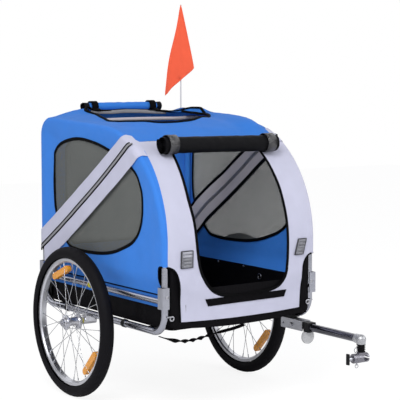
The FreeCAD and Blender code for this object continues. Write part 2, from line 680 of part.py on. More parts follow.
for side, s, inset in SIDES:
    ahead = fore(s * half_rail)
    behind = aft(s * half_rail)
    panel = outline(far, d.side_hem, s * panel_in, s).extrude(Vector(s * d.cover_cloth, 0, 0))
    x0, x1 = sorted((s * (panel_in - 5), s * (panel_out + 5)))
    notches = [
        box_of(x0, x1, ahead - 100, ahead - far + d.notch_side, 0, d.notch_height),
        box_of(x0, x1, behind + far - d.notch_side, behind + 100, 0, d.notch_height),
    ]
    panel = panel.cut(Part.makeCompound(notches)).cut(window(s * (panel_in - 3), 0, s * (d.cover_cloth + 6)))
    node(f"cover_side_{side}", shaped(panel))
    node(f"window_mesh_{side}", shaped(window(s * (panel_in - 0.1), d.mesh_lap, -s * d.mesh_cloth)))

    lean = math.radians(d.band_angle)
    run = Vector(0, math.cos(lean), -math.sin(lean))
    rise = Vector(0, math.sin(lean), math.cos(lean))
    middle = Vector(s * (panel_out + 0.1), d.band_y, d.band_z)
    corners = [
        middle + run * (a * 500) + rise * (b * d.band_width / 2)
        for a, b in ((-1, -1), (1, -1), (1, 1), (-1, 1))
    ]
    band = prism(corners, Vector(s * 1.2, 0, 0))
    limit = outline(far - 1, d.side_hem + 4, s * (panel_out - 2), s).extrude(Vector(s * 8, 0, 0))
    band = band.common(limit).cut(Part.makeCompound(notches))
    node(f"side_band_{side}", shaped(band))

width = panel_in - 0.1
skirt_foot = d.front_hem - 60
shell = Part.makeLoft([section(-width, skirt_foot), section(width, skirt_foot)], True, True)

door_half = d.door_width / 2
DOOR = [(0.925, 1.0), (1.0, 0.76), (1.0, 0.53), (0.97, 0.31), (0.89, 0.15), (0.67, 0.05), (0.33, 0.007), (0.0, 0.0)]
door_tall = d.door_top - d.door_sill
door_points = [Vector(u * door_half, 0, d.door_sill + v * door_tall) for u, v in DOOR]
door_points += [Vector(-p.x, 0, p.z) for p in reversed(door_points[:-1])]
door_points = [p + Vector(0, front_line - 60, 0) for p in door_points]
curve = Part.BSplineCurve()
curve.interpolate(door_points)
lintel = Part.makeLine(door_points[-1], door_points[0])
door = Part.Face(Part.Wire([curve.toShape(), lintel])).extrude(Vector(0, 260, 0))
seam_back = d.frame_front - d.seam_front


def across(reach, foot, top, line, ahead):
    """A prism over the trailer's whole width, between a line across it and a distance ahead of the line."""
    corners = [
        Vector(-reach, line(-reach), foot), Vector(reach, line(reach), foot),
        Vector(reach, line(reach) - ahead, foot), Vector(-reach, line(-reach) - ahead, foot),
    ]
    return prism(corners, Vector(0, 0, top - foot))


wide = panel_out + 50
corner_in = panel_out - d.notch_width
front_side = across(wide, d.front_hem, d.roof_front_height + 200, lambda x: fore(x) + seam_back, seam_back + 100)
corners = [
    box_of(x0, x1, front_line - 100, front_line + 100, 0, d.notch_height)
    for x0, x1 in ((-wide, -corner_in), (corner_in, wide))
]
front_panel = shell.common(front_side).cut(Part.makeCompound(corners)).cut(door)
node("cover_front", shaped(front_panel))


def corner_height(x):
    """Where the rear top corner's bend ends, at a distance from the centre plane."""
    top = d.roof_front_height + (aft(x) - front_line) * math.tan(slope)
    return top - d.hoop_corner * math.tan((math.pi / 2 + slope) / 2)


def seam_height(x):
    return corner_height(x) - d.seam_rear


back_corners = [
    Vector(-wide, rear_line - 80, d.side_hem), Vector(wide, rear_line - 80, d.side_hem),
    Vector(wide, rear_line - 80, seam_height(wide)), Vector(-wide, rear_line - 80, seam_height(-wide)),
]
back_side = prism(back_corners, Vector(0, 200, 0))
corners = [
    box_of(x0, x1, rear_line - 100, rear_line + 100, 0, d.notch_height)
    for x0, x1 in ((-wide, -corner_in), (corner_in, wide))
]
node("cover_back", shaped(shell.common(back_side).cut(Part.makeCompound(corners))))


# Roof: the hoop's line from seam to seam, bowed upwards across the trailer.
def bow(x, y):
    ahead = max(0.0, min(1.0, (y - fore(x) - seam_back) / 160))
    behind = max(0.0, min(1.0, (aft(x) + near - y) / 60))
    ease = ahead * ahead * (3 - 2 * ahead) * behind * behind * (3 - 2 * behind)
    return d.roof_crown * ease * (1 - (x / width) ** 2)


def roof_points(offset, x):
    """The cover's line from the front seam to the back seam: front curve, roof, rear corner."""
    curve = d.hoop_curve + offset
    corner = d.hoop_corner + offset
    front = fore(x) - offset
    rear = aft(x) + offset
    base = d.roof_front_height + offset / math.cos(slope)
    front_turn = math.pi / 2 - slope
    rear_turn = math.pi / 2 + slope
    front_y = front + curve
    front_z = base + (front - front_line) * math.tan(slope) - curve * math.tan(front_turn / 2)
    rear_y = rear - corner
    rear_z = base + (rear - front_line) * math.tan(slope) - corner * math.tan(rear_turn / 2)
    first = math.acos((front_y - fore(x) - seam_back) / curve)
    points = []
    for k in range(9):
        angle = first + (front_turn - first) * k / 8
        points.append(Vector(x, front_y - curve * math.cos(angle), front_z + curve * math.sin(angle)))
    start = points[-1]
    bend = Vector(x, rear_y + corner * math.cos(rear_turn), rear_z + corner * math.sin(rear_turn))
    points += [start + (bend - start) * (k / 6) for k in range(1, 6)]
    for k in range(13):
        angle = rear_turn * (1 - k / 12)
        points.append(Vector(x, rear_y + corner * math.cos(angle), rear_z + corner * math.sin(angle)))
    points.append(Vector(x, rear, seam_height(x)))
    return [p + Vector(0, 0, bow(x, p.y)) for p in points]


stations = [width * k / 4 for k in range(-4, 5)]
wires = []
for x in stations:
    ring_points = roof_points(near, x) + roof_points(far, x)[::-1]
    wires.append(Part.makePolygon(ring_points + ring_points[:1]))
roof = Part.makeLoft(wires, True, True)
hatch_half = d.hatch_width / 2
hatch_front, hatch_rear = -d.hatch_front, d.hatch_rear
corner = min(d.hatch_corner, hatch_half - 1, (hatch_rear - hatch_front) / 2 - 1)
hatch_path = rounded_path(
    [
        Vector(0, hatch_front, 700), Vector(hatch_half, hatch_front, 700), Vector(hatch_half, hatch_rear, 700),
        Vector(-hatch_half, hatch_rear, 700), Vector(-hatch_half, hatch_front, 700), Vector(0, hatch_front, 700),
    ],
    [corner, 40, 40, corner],
)
hatch = Part.Face(hatch_path).extrude(Vector(0, 0, 400))


# Bowed roof bars under the roof, and the rolled covers with their straps.
def surface(offset, x, y):
    """Height of the cover at a point in plan."""
    points = roof_points(offset, x)
    for a, b in zip(points, points[1:]):
        if a.y <= y <= b.y:
            return a.z + (b.z - a.z) * (y - a.y) / (b.y - a.y)
    return points[-1].z


bar_reach = half_rail - hoop_radius - 0.6
bars = []
for place in ("front", "rear"):
    ends = []
    for x in (-bar_reach, 0, bar_reach):
        y = fore(x) - front_line - d.roof_bar_front if place == "front" else d.roof_bar_rear
        drop = d.roof_bar_diameter / 2 + 0.4
        tilt = abs(surface(near, x, y + 6) - surface(near, x, y - 6)) / 12
        ends.append(Vector(x, y, surface(near, x, y) - drop * math.sqrt(1 + tilt * tilt)))
    bars.append(shaped(swept(Part.Wire(Part.Arc(*ends).toShape()), d.roof_bar_diameter / 2)))
node("roof_bars", *bars)

turn = math.radians(90 - d.roof_slope)
lie = math.radians(d.door_roll_angle)
reach = d.hoop_curve + far + d.door_roll_diameter / 2 + 2.3
door_roll_z = d.roof_front_height - d.hoop_curve * math.tan(turn / 2) + reach * math.sin(lie)


def door_roll_line(x):
    """A point of the door roll's axis, which lies along the front."""
    return Vector(x, fore(x) + d.hoop_curve - reach * math.cos(lie), door_roll_z)


def rest_height(y, radius):
    """Height of a roll's axis where it lies on the roof."""
    steps = [radius * k / 8 for k in range(-8, 9)]
    return max(surface(far, 0, y + step) + math.sqrt(radius * radius - step * step) for step in steps)


hatch_roll_z = rest_height(d.hatch_roll_y, d.hatch_roll_diameter / 2 + 1)


def hatch_roll_line(x):
    return Vector(x, d.hatch_roll_y, hatch_roll_z)


def roll(line, diameter, x0, x1):
    a, b = line(x0), line(x1)
    return Part.makeCylinder(diameter / 2, (b - a).Length, a, b - a)


door_end = d.door_roll_length / 2
hatch_end = d.hatch_roll_length / 2
node("door_roll", shaped(roll(door_roll_line, d.door_roll_diameter, -door_end, door_end)))
node("hatch_roll", shaped(roll(hatch_roll_line, d.hatch_roll_diameter, -hatch_end, hatch_end)))
straps = []
for line, diameter, length, breadth in (
    (door_roll_line, d.door_roll_diameter, d.door_roll_length, 24),
    (hatch_roll_line, d.hatch_roll_diameter, d.hatch_roll_length, 20),
):
    for s in (-1, 1):
        x0 = s * (length / 2 - 30) - breadth / 2
        band = roll(line, diameter + 2.8, x0, x0 + breadth)
        straps.append(shaped(band.cut(roll(line, diameter, x0 - 1, x0 + breadth + 1))))
node("roll_straps", *straps)

# Roof cloth with the turned-up flap along the hatch's left edge.
flap = []
for x, y, up in ((hatch_half + 2, hatch_rear - 4, 0.2), (hatch_half + 2, 30, 0.2), (hatch_half - 2, 100, 30)):
    flap.append(Vector(x, y, surface(far, x, y) + up))
node("cover_roof", shaped(roof.cut(hatch)), shaped(prism(flap, Vector(1.6, 0, 0))))

# Front trim: two reflector patches and the hook strip below the door.
patches = []
for s in (-1, 1):
    x0 = s * d.patch_x - d.patch_width / 2
    foot = d.patch_z - d.patch_height / 2
    patches.append(
        front_strip(x0, x0 + d.patch_width, far + 0.1, far + d.patch_thickness, foot, foot + d.patch_height)
    )
node("front_reflectors", *[shaped(p) for p in patches])
hook_foot = d.door_sill - d.hook_height - 1
hook_start = d.hook_x - d.hook_length / 2
hook_in, hook_out = far + 0.1, far + 0.1 + d.hook_cloth
hook = front_strip(hook_start, hook_start + d.hook_length, hook_in, hook_out, hook_foot, d.door_sill - 1)
node("hook_strip", shaped(hook))

# Tow bracket under the left front, carried by a block on the rail.
INSIDE = "(arm_diameter / 2 + 2)"
OUTSIDE = f"({INSIDE} + bracket_plate)"
BOLT_Y = "-arm_pivot"
END = "(bolt_diameter / 2 + 3)"
HEADROOM = f"(sqrt({END} ^ 2 + arm_diameter ^ 2 / 4) + 1.3)"
BRACKET_TOP = f"(arm_height + {HEADROOM} + bracket_plate)"
long = "bracket_front - bracket_rear"
outer = block(
    f"arm_x - {OUTSIDE}", "-bracket_front", "arm_height - bracket_drop",
    f"2 * {OUTSIDE}", long, f"{BRACKET_TOP} - arm_height + bracket_drop",
)
inner = block(
    f"arm_x - {INSIDE}", "-bracket_front - 1", "arm_height - bracket_drop - 1",
    f"2 * {INSIDE}", f"{long} + 2", f"{HEADROOM} + bracket_drop + 1",
)
bolt_hole = rod("bolt_diameter / 2", f"2 * {OUTSIDE} + 2", f"arm_x - {OUTSIDE} - 1", BOLT_Y, "arm_height", "x")
SPARE_Y = "-bracket_rear - 12"
spare = rod("bolt_diameter / 2", f"2 * {OUTSIDE} + 2", f"arm_x - {OUTSIDE} - 1", SPARE_Y, "arm_height", "x")
node("tow_bracket", minus(outer, inner, bolt_hole, spare))
carrier = block(
    f"arm_x - {OUTSIDE} + 4", "-bracket_rear - 40", BRACKET_TOP,
    f"{HALF} - arm_x + {OUTSIDE} + 6", "36", f"rail_height - {BRACKET_TOP}",
)
rail = rod("rail_diameter / 2", "200", HALF, "-bracket_rear - 100", "rail_height", "y")
tie = rod("cross_diameter / 2", "rail_spacing", f"-{HALF}", "-cross_front", "rail_height", "x")
above = block("0", "-frame_front", f"{TUB_FLOOR} - 0.3", "400", "200", "60")
node("tow_carrier", minus(carrier, rail, tie, above))
BOLT_HEAD = "bolt_diameter * 0.85"
BOLT = [
    (f"-{OUTSIDE} - 5", "0"), (f"-{OUTSIDE} - 5", f"{BOLT_HEAD} - 1"), (f"-{OUTSIDE} - 4", BOLT_HEAD),
    (f"-{OUTSIDE}", BOLT_HEAD), (f"-{OUTSIDE}", "bolt_diameter / 2"), (OUTSIDE, "bolt_diameter / 2"),
    (OUTSIDE, BOLT_HEAD), (f"{OUTSIDE} + 6", BOLT_HEAD), (f"{OUTSIDE} + 6", "bolt_diameter / 2"),
    (f"{OUTSIDE} + 8", "bolt_diameter / 2"), (f"{OUTSIDE} + 8", "0"),
]
node("tow_bolt", turned(BOLT, "arm_x", BOLT_Y, "arm_height"))

# Tow arm: tube with an eye for the bolt, a square collar with the clear reflector, and a cast elbow.
arm_end = f"(arm_reach - arm_pivot + {END})"
arm_place = ("arm_x", "-arm_reach", "arm_height", "y")
arm_outer = rod("arm_diameter / 2", arm_end, *arm_place)
arm_inner = rod("arm_diameter / 2 - tube_wall", arm_end, *arm_place)
eye = rod("bolt_diameter / 2 + running_gap", "60", "arm_x - 30", BOLT_Y, "arm_height", "x")
elbow_room = block("arm_x - 30", "-arm_reach - 5", "arm_height - 30", "60", "elbow_diameter / 2 + 5", "60")
node("tow_arm", minus(arm_outer, arm_inner, eye, elbow_room))
collar = block(
    "arm_x - collar_size / 2", "-bracket_front - 4.5 - 26", "arm_height - collar_size / 2",
    "collar_size", "26", "collar_size",
)
bore = rod("arm_diameter / 2", "60", "arm_x", "-bracket_front - 40", "arm_height", "y")
node("arm_collar", minus(collar, bore))
disc_z = "arm_height - collar_size / 2 - disc_diameter / 2 + 9"
disc = rod("disc_diameter / 2", "7", "arm_x - 5", "-bracket_front - 18", disc_z, "y")
trim = block("arm_x - 60", "-bracket_front - 60", "arm_height - collar_size / 2 - 0.1", "120", "80", "60")
node("disc_reflector", minus(disc, trim))
ELBOW_FOOT = "(arm_height - elbow_diameter / 2)"
elbow_solid = joined(
    ball("elbow_diameter / 2 + 1", "arm_x", "-arm_reach", "arm_height"),
    rod("elbow_diameter / 2", "elbow_diameter / 2 + 6", "arm_x", "-arm_reach", f"{ELBOW_FOOT} - 6", "z"),
    rod("elbow_diameter / 2", "24", "arm_x", "-arm_reach", "arm_height", "y"),
)
sleeve = rod("arm_diameter / 2", "60", "arm_x", "-arm_reach + elbow_diameter / 2", "arm_height", "y")
flat = block("arm_x - 40", "-arm_reach - 40", f"{ELBOW_FOOT} - 40", "80", "80", "40")
node("arm_elbow", minus(elbow_solid, sleeve, flat))

# Hitch: ribbed rubber flex joint turning under the elbow, clamp barrel, pad, screw and rings.
FLEX_TOP = f"({ELBOW_FOOT} - side_play)"
FLEX_FOOT = f"({FLEX_TOP} - flex_height)"
place = ("arm_x", "-arm_reach")
RIB = "flex_diameter / 2"
GROOVE = "flex_diameter / 2 - 3"
ribs = [("0", "0"), ("0", GROOVE)]
for k in range(4):
    low = f"1 + {k} * (flex_height - 5) / 3"
    ribs += [(low, GROOVE), (f"{low} + 0.6", RIB), (f"{low} + 2.4", RIB), (f"{low} + 3", GROOVE)]
ribs += [("flex_height", GROOVE), ("flex_height", "0")]
node("flex_joint", turned(ribs, *place, FLEX_FOOT, "z"))
CLAMP_Z = f"({FLEX_FOOT} - 3 - clamp_diameter / 2)"
CLAMP_X = "(arm_x - 5)"
BORE_X = f"({CLAMP_X} + clamp_length / 2 - clamp_bore / 2 - 6)"
BARREL_END = "clamp_length / 2"
barrel_section = [(f"-{BARREL_END}", "0"), (f"-{BARREL_END}", "clamp_diameter / 2 - 2")]
for k in range(2):
    step = f"-{BARREL_END} + 3 + {k} * 7"
    barrel_section += [(step, "clamp_diameter / 2"), (f"{step} + 4", "clamp_diameter / 2")]
    barrel_section += [(f"{step} + 5", "clamp_diameter / 2 - 1.2"), (f"{step} + 6", "clamp_diameter / 2 - 1.2")]
barrel_section += [
    (f"-{BARREL_END} + 17", "clamp_diameter / 2"), (f"{BARREL_END} - 2", "clamp_diameter / 2"),
    (BARREL_END, "clamp_diameter / 2 - 2"), (BARREL_END, "0"),
]
barrel = turned(barrel_section, CLAMP_X, "-arm_reach", CLAMP_Z)
neck = rod("flex_diameter / 2 - 1", f"{FLEX_FOOT} - {CLAMP_Z}", *place, CLAMP_Z, "z")
grip = rod("clamp_bore / 2", "100", BORE_X, "-arm_reach - 50", CLAMP_Z, "y")
split = block(BORE_X, "-arm_reach - 50", f"{CLAMP_Z} - clamp_slot / 2", "100", "100", "clamp_slot")
thread = rod("screw_diameter / 2 + running_gap", "100", f"{BORE_X} - 100", "-arm_reach", CLAMP_Z, "x")
node("clamp_barrel", minus(joined(barrel, neck), grip, split, thread))
PAD_X = f"({BORE_X} - clamp_bore / 2 - 4)"
pad = rod("screw_diameter / 2", "4.5", PAD_X, "-arm_reach", CLAMP_Z, "x")
node("clamp_pad", minus(pad, rod("clamp_bore / 2 + 0.05", "40", BORE_X, "-arm_reach - 20", CLAMP_Z, "y")))
HANDLE_X = f"({CLAMP_X} - clamp_length / 2 - 16)"
COLLAR = "screw_diameter * 0.85"
SCREW = [
    ("0", "0"), ("0", COLLAR), ("12", COLLAR), ("14", "screw_diameter / 2"),
    (f"{PAD_X} - 1.1 - {HANDLE_X}", "screw_diameter / 2"), (f"{PAD_X} - 0.1 - {HANDLE_X}", "screw_diameter / 2 - 1"),
    (f"{PAD_X} - 0.1 - {HANDLE_X}", "0"),
]
screw = turned(SCREW, HANDLE_X, "-arm_reach", CLAMP_Z)
bar = block(f"{HANDLE_X} - 4", "-arm_reach - 6", f"{CLAMP_Z} - 17", "5", "12", "34")
node("clamp_screw", screw)
node("clamp_handle", minus(bar, rod("screw_diameter * 0.85", "14", HANDLE_X, "-arm_reach", CLAMP_Z, "x")))
PIN_FOOT = f"({CLAMP_Z} - clamp_diameter / 2 - 7)"
pin = rod("2.4", "9", f"{CLAMP_X} - 12", "-arm_reach", PIN_FOOT, "z")
split_ring = ring("6", "1", f"{CLAMP_X} - 12", "-arm_reach", f"{PIN_FOOT} - 2.5", "y")
side_ring = ring("7.5", "1.2", "arm_x - flex_diameter / 2 - 5.5", "-arm_reach", f"{FLEX_FOOT} + 8", "y")
barrel_room = rod("clamp_diameter / 2", "100", f"{CLAMP_X} - 50", "-arm_reach", CLAMP_Z, "x")
flex_room = rod("flex_diameter / 2", "60", "arm_x", "-arm_reach", f"{FLEX_FOOT} - 10", "z")
node("hitch_rings", minus(joined(pin, split_ring), barrel_room), minus(side_ring, flex_room))

# Flag: socket on the left rear rail, pole and pennant.
POLE_X = HALF
socket = joined(
    rod("pole_diameter / 2 + 4", "86", POLE_X, "pole_y", "rail_height + 12", "z"),
    block(f"{HALF} - 7", "frame_rear - nest_step", "rail_height + 46", "14", "pole_y - frame_rear + nest_step", "22"),
)
well = rod("pole_diameter / 2 + running_gap", "90", POLE_X, "pole_y", "rail_height + 16", "z")
post = rod("rail_diameter / 2", "200", POLE_X, "frame_rear - nest_step", "rail_height", "z")
node("flag_socket", minus(socket, well, post))
node("flag_pole", rod("pole_diameter / 2", "pole_top - rail_height - 16.5", POLE_X, "pole_y", "rail_height + 16.5", "z"))
flag_y = d.pole_y - d.pole_diameter / 2 - 0.1
pennant = [(-3, 0), (d.flag_out, -d.flag_middle), (-d.flag_in, -d.flag_height)]
flag = prism([Vector(half_rail + x, flag_y, d.pole_top - 2 + z) for x, z in pennant], Vector(0, -1, 0))
node("flag", shaped(flag))

# Safety strap hanging under the front, from the right rail's bend to the tub's skirt.
hang = d.strap_diameter / 2
strap_y = front_line + 34
bend_low = d.rail_height + d.rail_bend - math.sqrt((d.rail_bend + d.rail_diameter / 2) ** 2 - (d.rail_bend - 34) ** 2)
strap_points = [
    Vector(-half_rail + 2, strap_y, bend_low - hang - 0.3),
    Vector(-half_rail + 42, strap_y, bend_low - hang - 16),
    Vector(-half_rail + 92, strap_y, bend_low - hang - 26),
    Vector(-half_rail + 142, strap_y, bend_low - hang - 24),
    Vector(-half_rail + 192, strap_y - 2, bend_low - hang - 14),
    Vector(-half_rail + 240, strap_y - 6, bend_low - hang - 7),
    Vector(-half_rail + 284, strap_y - 22, bend_low - hang - 1),
    Vector(-half_rail + 320, fore(33) - hoop_radius + 1, d.tub_skirt - hang - 0.3),
]


def free_path(points):
    radii = []
    for i in range(1, len(points) - 1):
        back = points[i - 1] - points[i]
        ahead = points[i + 1] - points[i]
        half = math.acos(max(-1.0, min(1.0, back.normalize().dot(ahead.normalize())))) / 2
        run = min((points[i - 1] - points[i]).Length, (points[i + 1] - points[i]).Length)
        radii.append(0.45 * run * math.tan(half))
    print("safety strap radii, mm:", [round(r) for r in radii])
    return rounded_path(points, radii)


node("safety_strap", shaped(swept(free_path(strap_points), hang)))

# Checks, then one STEP file for each part.
doc.recompute()
for obj in doc.Objects:
    if "Invalid" in obj.State or "Error" in obj.State:
        raise RuntimeError(f"{obj.Name} ({obj.Label}) did not build: {obj.State}")
os.makedirs("parts", exist_ok=True)
for old in os.listdir("parts"):
    os.remove(os.path.join("parts", old))
for obj in NODES:
    if obj.Shape.isNull() or not obj.Shape.isValid():
        raise RuntimeError(f"{obj.Label} has no valid shape")
    obj.Shape.exportStep(os.path.join("parts", obj.Label + ".step"))
print(len(NODES), "parts written")
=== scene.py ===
# %% [markdown]
# # Dressing a folding dog trailer
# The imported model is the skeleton: tubes, wheels, axles and the tow arm, all in metres in one frame.
# This lesson hangs the cloth on it, gives every part its finish and sets up the studio.
# Front is -Y, the trailer's left side is +X and the ground is Z = 0.

# %% Load the skeleton
import bpy
from math import acos, asin, ceil, copysign, cos, exp, hypot, pi, radians, sin, sqrt, tan, tau
from mathutils import Matrix, Vector, noise
from mathutils.geometry import delaunay_2d_cdt


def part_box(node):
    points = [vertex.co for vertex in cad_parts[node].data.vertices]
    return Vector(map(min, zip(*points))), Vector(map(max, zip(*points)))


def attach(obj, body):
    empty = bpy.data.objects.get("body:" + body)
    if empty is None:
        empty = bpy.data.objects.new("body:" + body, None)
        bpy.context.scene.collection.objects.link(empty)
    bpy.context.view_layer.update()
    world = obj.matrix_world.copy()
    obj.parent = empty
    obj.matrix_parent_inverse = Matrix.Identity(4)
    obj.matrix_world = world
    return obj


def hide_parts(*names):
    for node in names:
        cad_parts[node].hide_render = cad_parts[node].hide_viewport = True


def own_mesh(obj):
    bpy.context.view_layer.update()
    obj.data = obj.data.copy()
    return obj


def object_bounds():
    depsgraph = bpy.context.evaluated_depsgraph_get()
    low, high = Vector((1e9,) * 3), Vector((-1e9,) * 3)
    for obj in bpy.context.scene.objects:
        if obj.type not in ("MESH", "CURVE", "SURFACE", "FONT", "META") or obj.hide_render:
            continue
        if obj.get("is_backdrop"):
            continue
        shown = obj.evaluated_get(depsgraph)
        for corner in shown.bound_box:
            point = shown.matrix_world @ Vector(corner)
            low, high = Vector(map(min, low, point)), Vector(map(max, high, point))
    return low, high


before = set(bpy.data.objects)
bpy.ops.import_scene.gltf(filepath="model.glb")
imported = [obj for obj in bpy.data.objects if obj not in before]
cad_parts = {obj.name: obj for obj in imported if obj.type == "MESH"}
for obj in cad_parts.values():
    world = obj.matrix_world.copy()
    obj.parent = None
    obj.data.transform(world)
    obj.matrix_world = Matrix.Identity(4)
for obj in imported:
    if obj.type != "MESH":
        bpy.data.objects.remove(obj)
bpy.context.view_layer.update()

# %% [markdown]
# ## Camera
# The picture was taken from well back with a long lens, a little above the roof, so lines hardly
# converge. The camera's place is counted from the wheel axle, which every other distance here uses too.

# %% Camera
SIDES = {"right": -1, "left": 1}
UP = Vector((0, 0, 1))


def middle(node):
    low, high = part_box(node)
    return (Vector(low) + Vector(high)) / 2


axle_y = middle("hub_right").y
eye = Vector((-2.649, -4.122 + axle_y, 1.088))
look = Vector((0.561, 0.822, -0.093)).normalized()
right = look.cross(UP).normalized()
camera = bpy.data.objects.new("camera", bpy.data.cameras.new("camera"))
bpy.context.scene.collection.objects.link(camera)
axes = Matrix((right, right.cross(look), -look)).transposed().to_4x4()
camera.matrix_world = Matrix.Translation(eye) @ axes
camera.data.sensor_width = 36
camera.data.lens = 130.5
camera.data.clip_end = 50
bpy.context.scene.camera = camera
print("axle at y =", round(axle_y, 4))

# %% [markdown]
# ## Finishes
# Each finish is a few nodes round one Principled shader. Patterns are sized in real millimetres on object
# coordinates, so a weave is as fine on a small strap as on the roof and follows a part when it moves.

# %% Colours and nodes
def linear(code):
    """A hex colour as the linear values that shaders use."""
    parts = [int(code[i:i + 2], 16) / 255 for i in (1, 3, 5)]
    return [p / 12.92 if p <= 0.04045 else ((p + 0.055) / 1.055) ** 2.4 for p in parts] + [1.0]


def add(tree, kind, links=None, **settings):
    """Adds one node; links maps an input to a value or to another node's output."""
    node = tree.nodes.new(kind)
    for name, value in settings.items():
        setattr(node, name, value)
    for key, value in (links or {}).items():
        if isinstance(value, bpy.types.NodeSocket):
            tree.links.new(value, node.inputs[key])
        else:
            node.inputs[key].default_value = value
    return node


def threads(tree, place, pitch):
    """Crossing threads a pitch apart, on any face that lies roughly along two of the axes."""
    scaled = add(tree, "ShaderNodeVectorMath", {0: place, "Scale": tau / pitch}, operation="SCALE")
    waves = add(tree, "ShaderNodeVectorMath", {0: scaled.outputs[0]}, operation="SINE").outputs[0]
    x, y, z = add(tree, "ShaderNodeSeparateXYZ", {0: waves}).outputs
    turned = add(tree, "ShaderNodeCombineXYZ", {0: y, 1: z, 2: x}).outputs[0]
    weave = add(tree, "ShaderNodeVectorMath", {0: waves, 1: turned}, operation="DOT_PRODUCT")
    return weave.outputs["Value"], waves


print("mid grey in linear light:", round(linear("#808080")[0], 3))

# %% [markdown]
# One function makes every finish. The colour drifts a little darker in patches, since no real surface is
# even, and Bump nodes stack layers of relief: threads, soft folds, drawing lines or pits.

# %% One function for every finish
CLOUDS, PITS, THREADS = "ShaderNodeTexNoise", "ShaderNodeTexVoronoi", "threads"


def new_finish(name, code, drift, size, relief, **sockets):
    """The colour drifts by a share in patches of a size; relief is (pattern, setting, depth, strength)."""
    material = bpy.data.materials.new(name)
    material.use_nodes = True
    base = linear(code)
    material.diffuse_color = base
    tree = material.node_tree
    inputs = tree.nodes["Principled BSDF"].inputs
    inputs["Base Color"].default_value = base
    for key, value in sockets.items():
        inputs[key.replace("_", " ")].default_value = value
    place = add(tree, "ShaderNodeTexCoord").outputs["Object"]
    dark = [v * (1 - drift) for v in base[:3]] + [1.0]
    patches = add(tree, CLOUDS, {"Vector": place, "Scale": 1 / size, "Detail": 4.0}).outputs["Fac"]
    mix = add(tree, "ShaderNodeMix", {0: patches, 6: base, 7: dark}, data_type="RGBA")
    tree.links.new(mix.outputs[2], inputs["Base Color"])
    below = None
    for pattern, setting, depth, strength in relief:
        if pattern == THREADS:
            height = threads(tree, place, setting)[0]
        else:
            height = add(tree, pattern, {"Vector": place, **setting}).outputs[0]
        layer = {"Height": height, "Distance": depth, "Strength": strength}
        if below:
            layer["Normal"] = below
        below = add(tree, "ShaderNodeBump", layer).outputs["Normal"]
    tree.links.new(below, inputs["Normal"])
    return material, tree, inputs, place


print("ready for finishes")

# %% [markdown]
# Each kind of material has its own pattern, depth and shine, and the colour is chosen piece by piece.

# %% Kinds of finish
CLOTH_PITCH, WEBBING_PITCH, PRISM_PITCH, NET_PITCH = 0.0009, 0.0022, 0.004, 0.0012
NET_OPEN = 0.15


def cloth(name, code, sheen=0.05, rough=0.66, crumple=0.0016, shine=0.22, painted_glow=0.0):
    """Coated polyester: fine weave and soft crumples, with an optional painted glow in the cloth's own colour
    that stands in for light coming through from behind.
    """
    crumples = (CLOUDS, {"Scale": 26.0, "Detail": 3.0}, crumple * 2, 0.55)
    return new_finish(
        name, code, 0.12, 0.05, [crumples, (THREADS, CLOTH_PITCH, 0.00012, 0.6)], Roughness=rough,
        Sheen_Weight=sheen, Sheen_Roughness=0.4, Specular_IOR_Level=shine, Emission_Color=linear(code),
        Emission_Strength=painted_glow)[0]


def webbing(name, code, rough=0.7, shine=0.05):
    """Woven strap: strong ribs across the strap and a dull surface."""
    return new_finish(name, code, 0.2, 0.004, [(THREADS, WEBBING_PITCH, 0.0003, 0.8)], Roughness=rough,
                      Specular_IOR_Level=shine)[0]


def moulded(name, code, rough=0.45, grain=0.0006, shine=0.3):
    """Injection-moulded plastic or rubber with a fine spark-eroded grain."""
    return new_finish(name, code, 0.15, 0.02, [(PITS, {"Scale": 1 / grain}, 0.00008, 0.5)], Roughness=rough,
                      Specular_IOR_Level=shine)[0]


def lens(name, code, painted_glow=0.0):
    """Prismatic reflector: a grid of small pyramids under a glossy skin, with an optional painted glow in its
    own colour.
    """
    painted_glow_sockets = {"Emission_Color": linear(code), "Emission_Strength": painted_glow} if painted_glow else {}
    return new_finish(name, code, 0.35, 0.004, [(THREADS, PRISM_PITCH, 0.0006, 0.8)], Roughness=0.18,
                      Coat_Weight=0.6, Coat_Roughness=0.05, **painted_glow_sockets)[0]


def metal(name, code, rough=0.3, metallic=1.0):
    """Plated or brushed metal with fine drawing lines and patches that are a little duller."""
    lines = (CLOUDS, {"Scale": 900.0, "Detail": 2.0}, 0.00004, 0.4)
    material, tree, inputs, place = new_finish(name, code, 0.18, 0.03, [lines], Metallic=metallic)
    patches = add(tree, CLOUDS, {"Vector": place, "Scale": 60.0, "Detail": 5.0}).outputs["Fac"]
    inputs["Roughness"].default_value = rough
    dull = {"Value": patches, "To Min": rough - 0.075, "To Max": rough + 0.15}
    tree.links.new(add(tree, "ShaderNodeMapRange", dull).outputs[0], inputs["Roughness"])
    return material


def netting(name, code, across):
    """Open netting: the gaps between the threads are see-through; across is the axis along the panel."""
    material, tree, inputs, place = new_finish(
        name, code, 0.12, 0.01, [(THREADS, NET_PITCH, 0.0002, 0.5)], Roughness=0.7, Specular_IOR_Level=0.2)
    waves = threads(tree, place, NET_PITCH)[1]
    size = add(tree, "ShaderNodeVectorMath", {0: waves}, operation="ABSOLUTE")
    apart = add(tree, "ShaderNodeSeparateXYZ", {0: size.outputs[0]}).outputs
    gap = add(tree, "ShaderNodeMath", {0: apart[across], 1: apart[2]}, operation="MINIMUM")
    thread = add(tree, "ShaderNodeMath", {0: gap.outputs[0], 1: 1 - NET_OPEN}, operation="LESS_THAN")
    tree.links.new(thread.outputs[0], inputs["Alpha"])
    return material


print("gaps in the netting:", NET_OPEN)
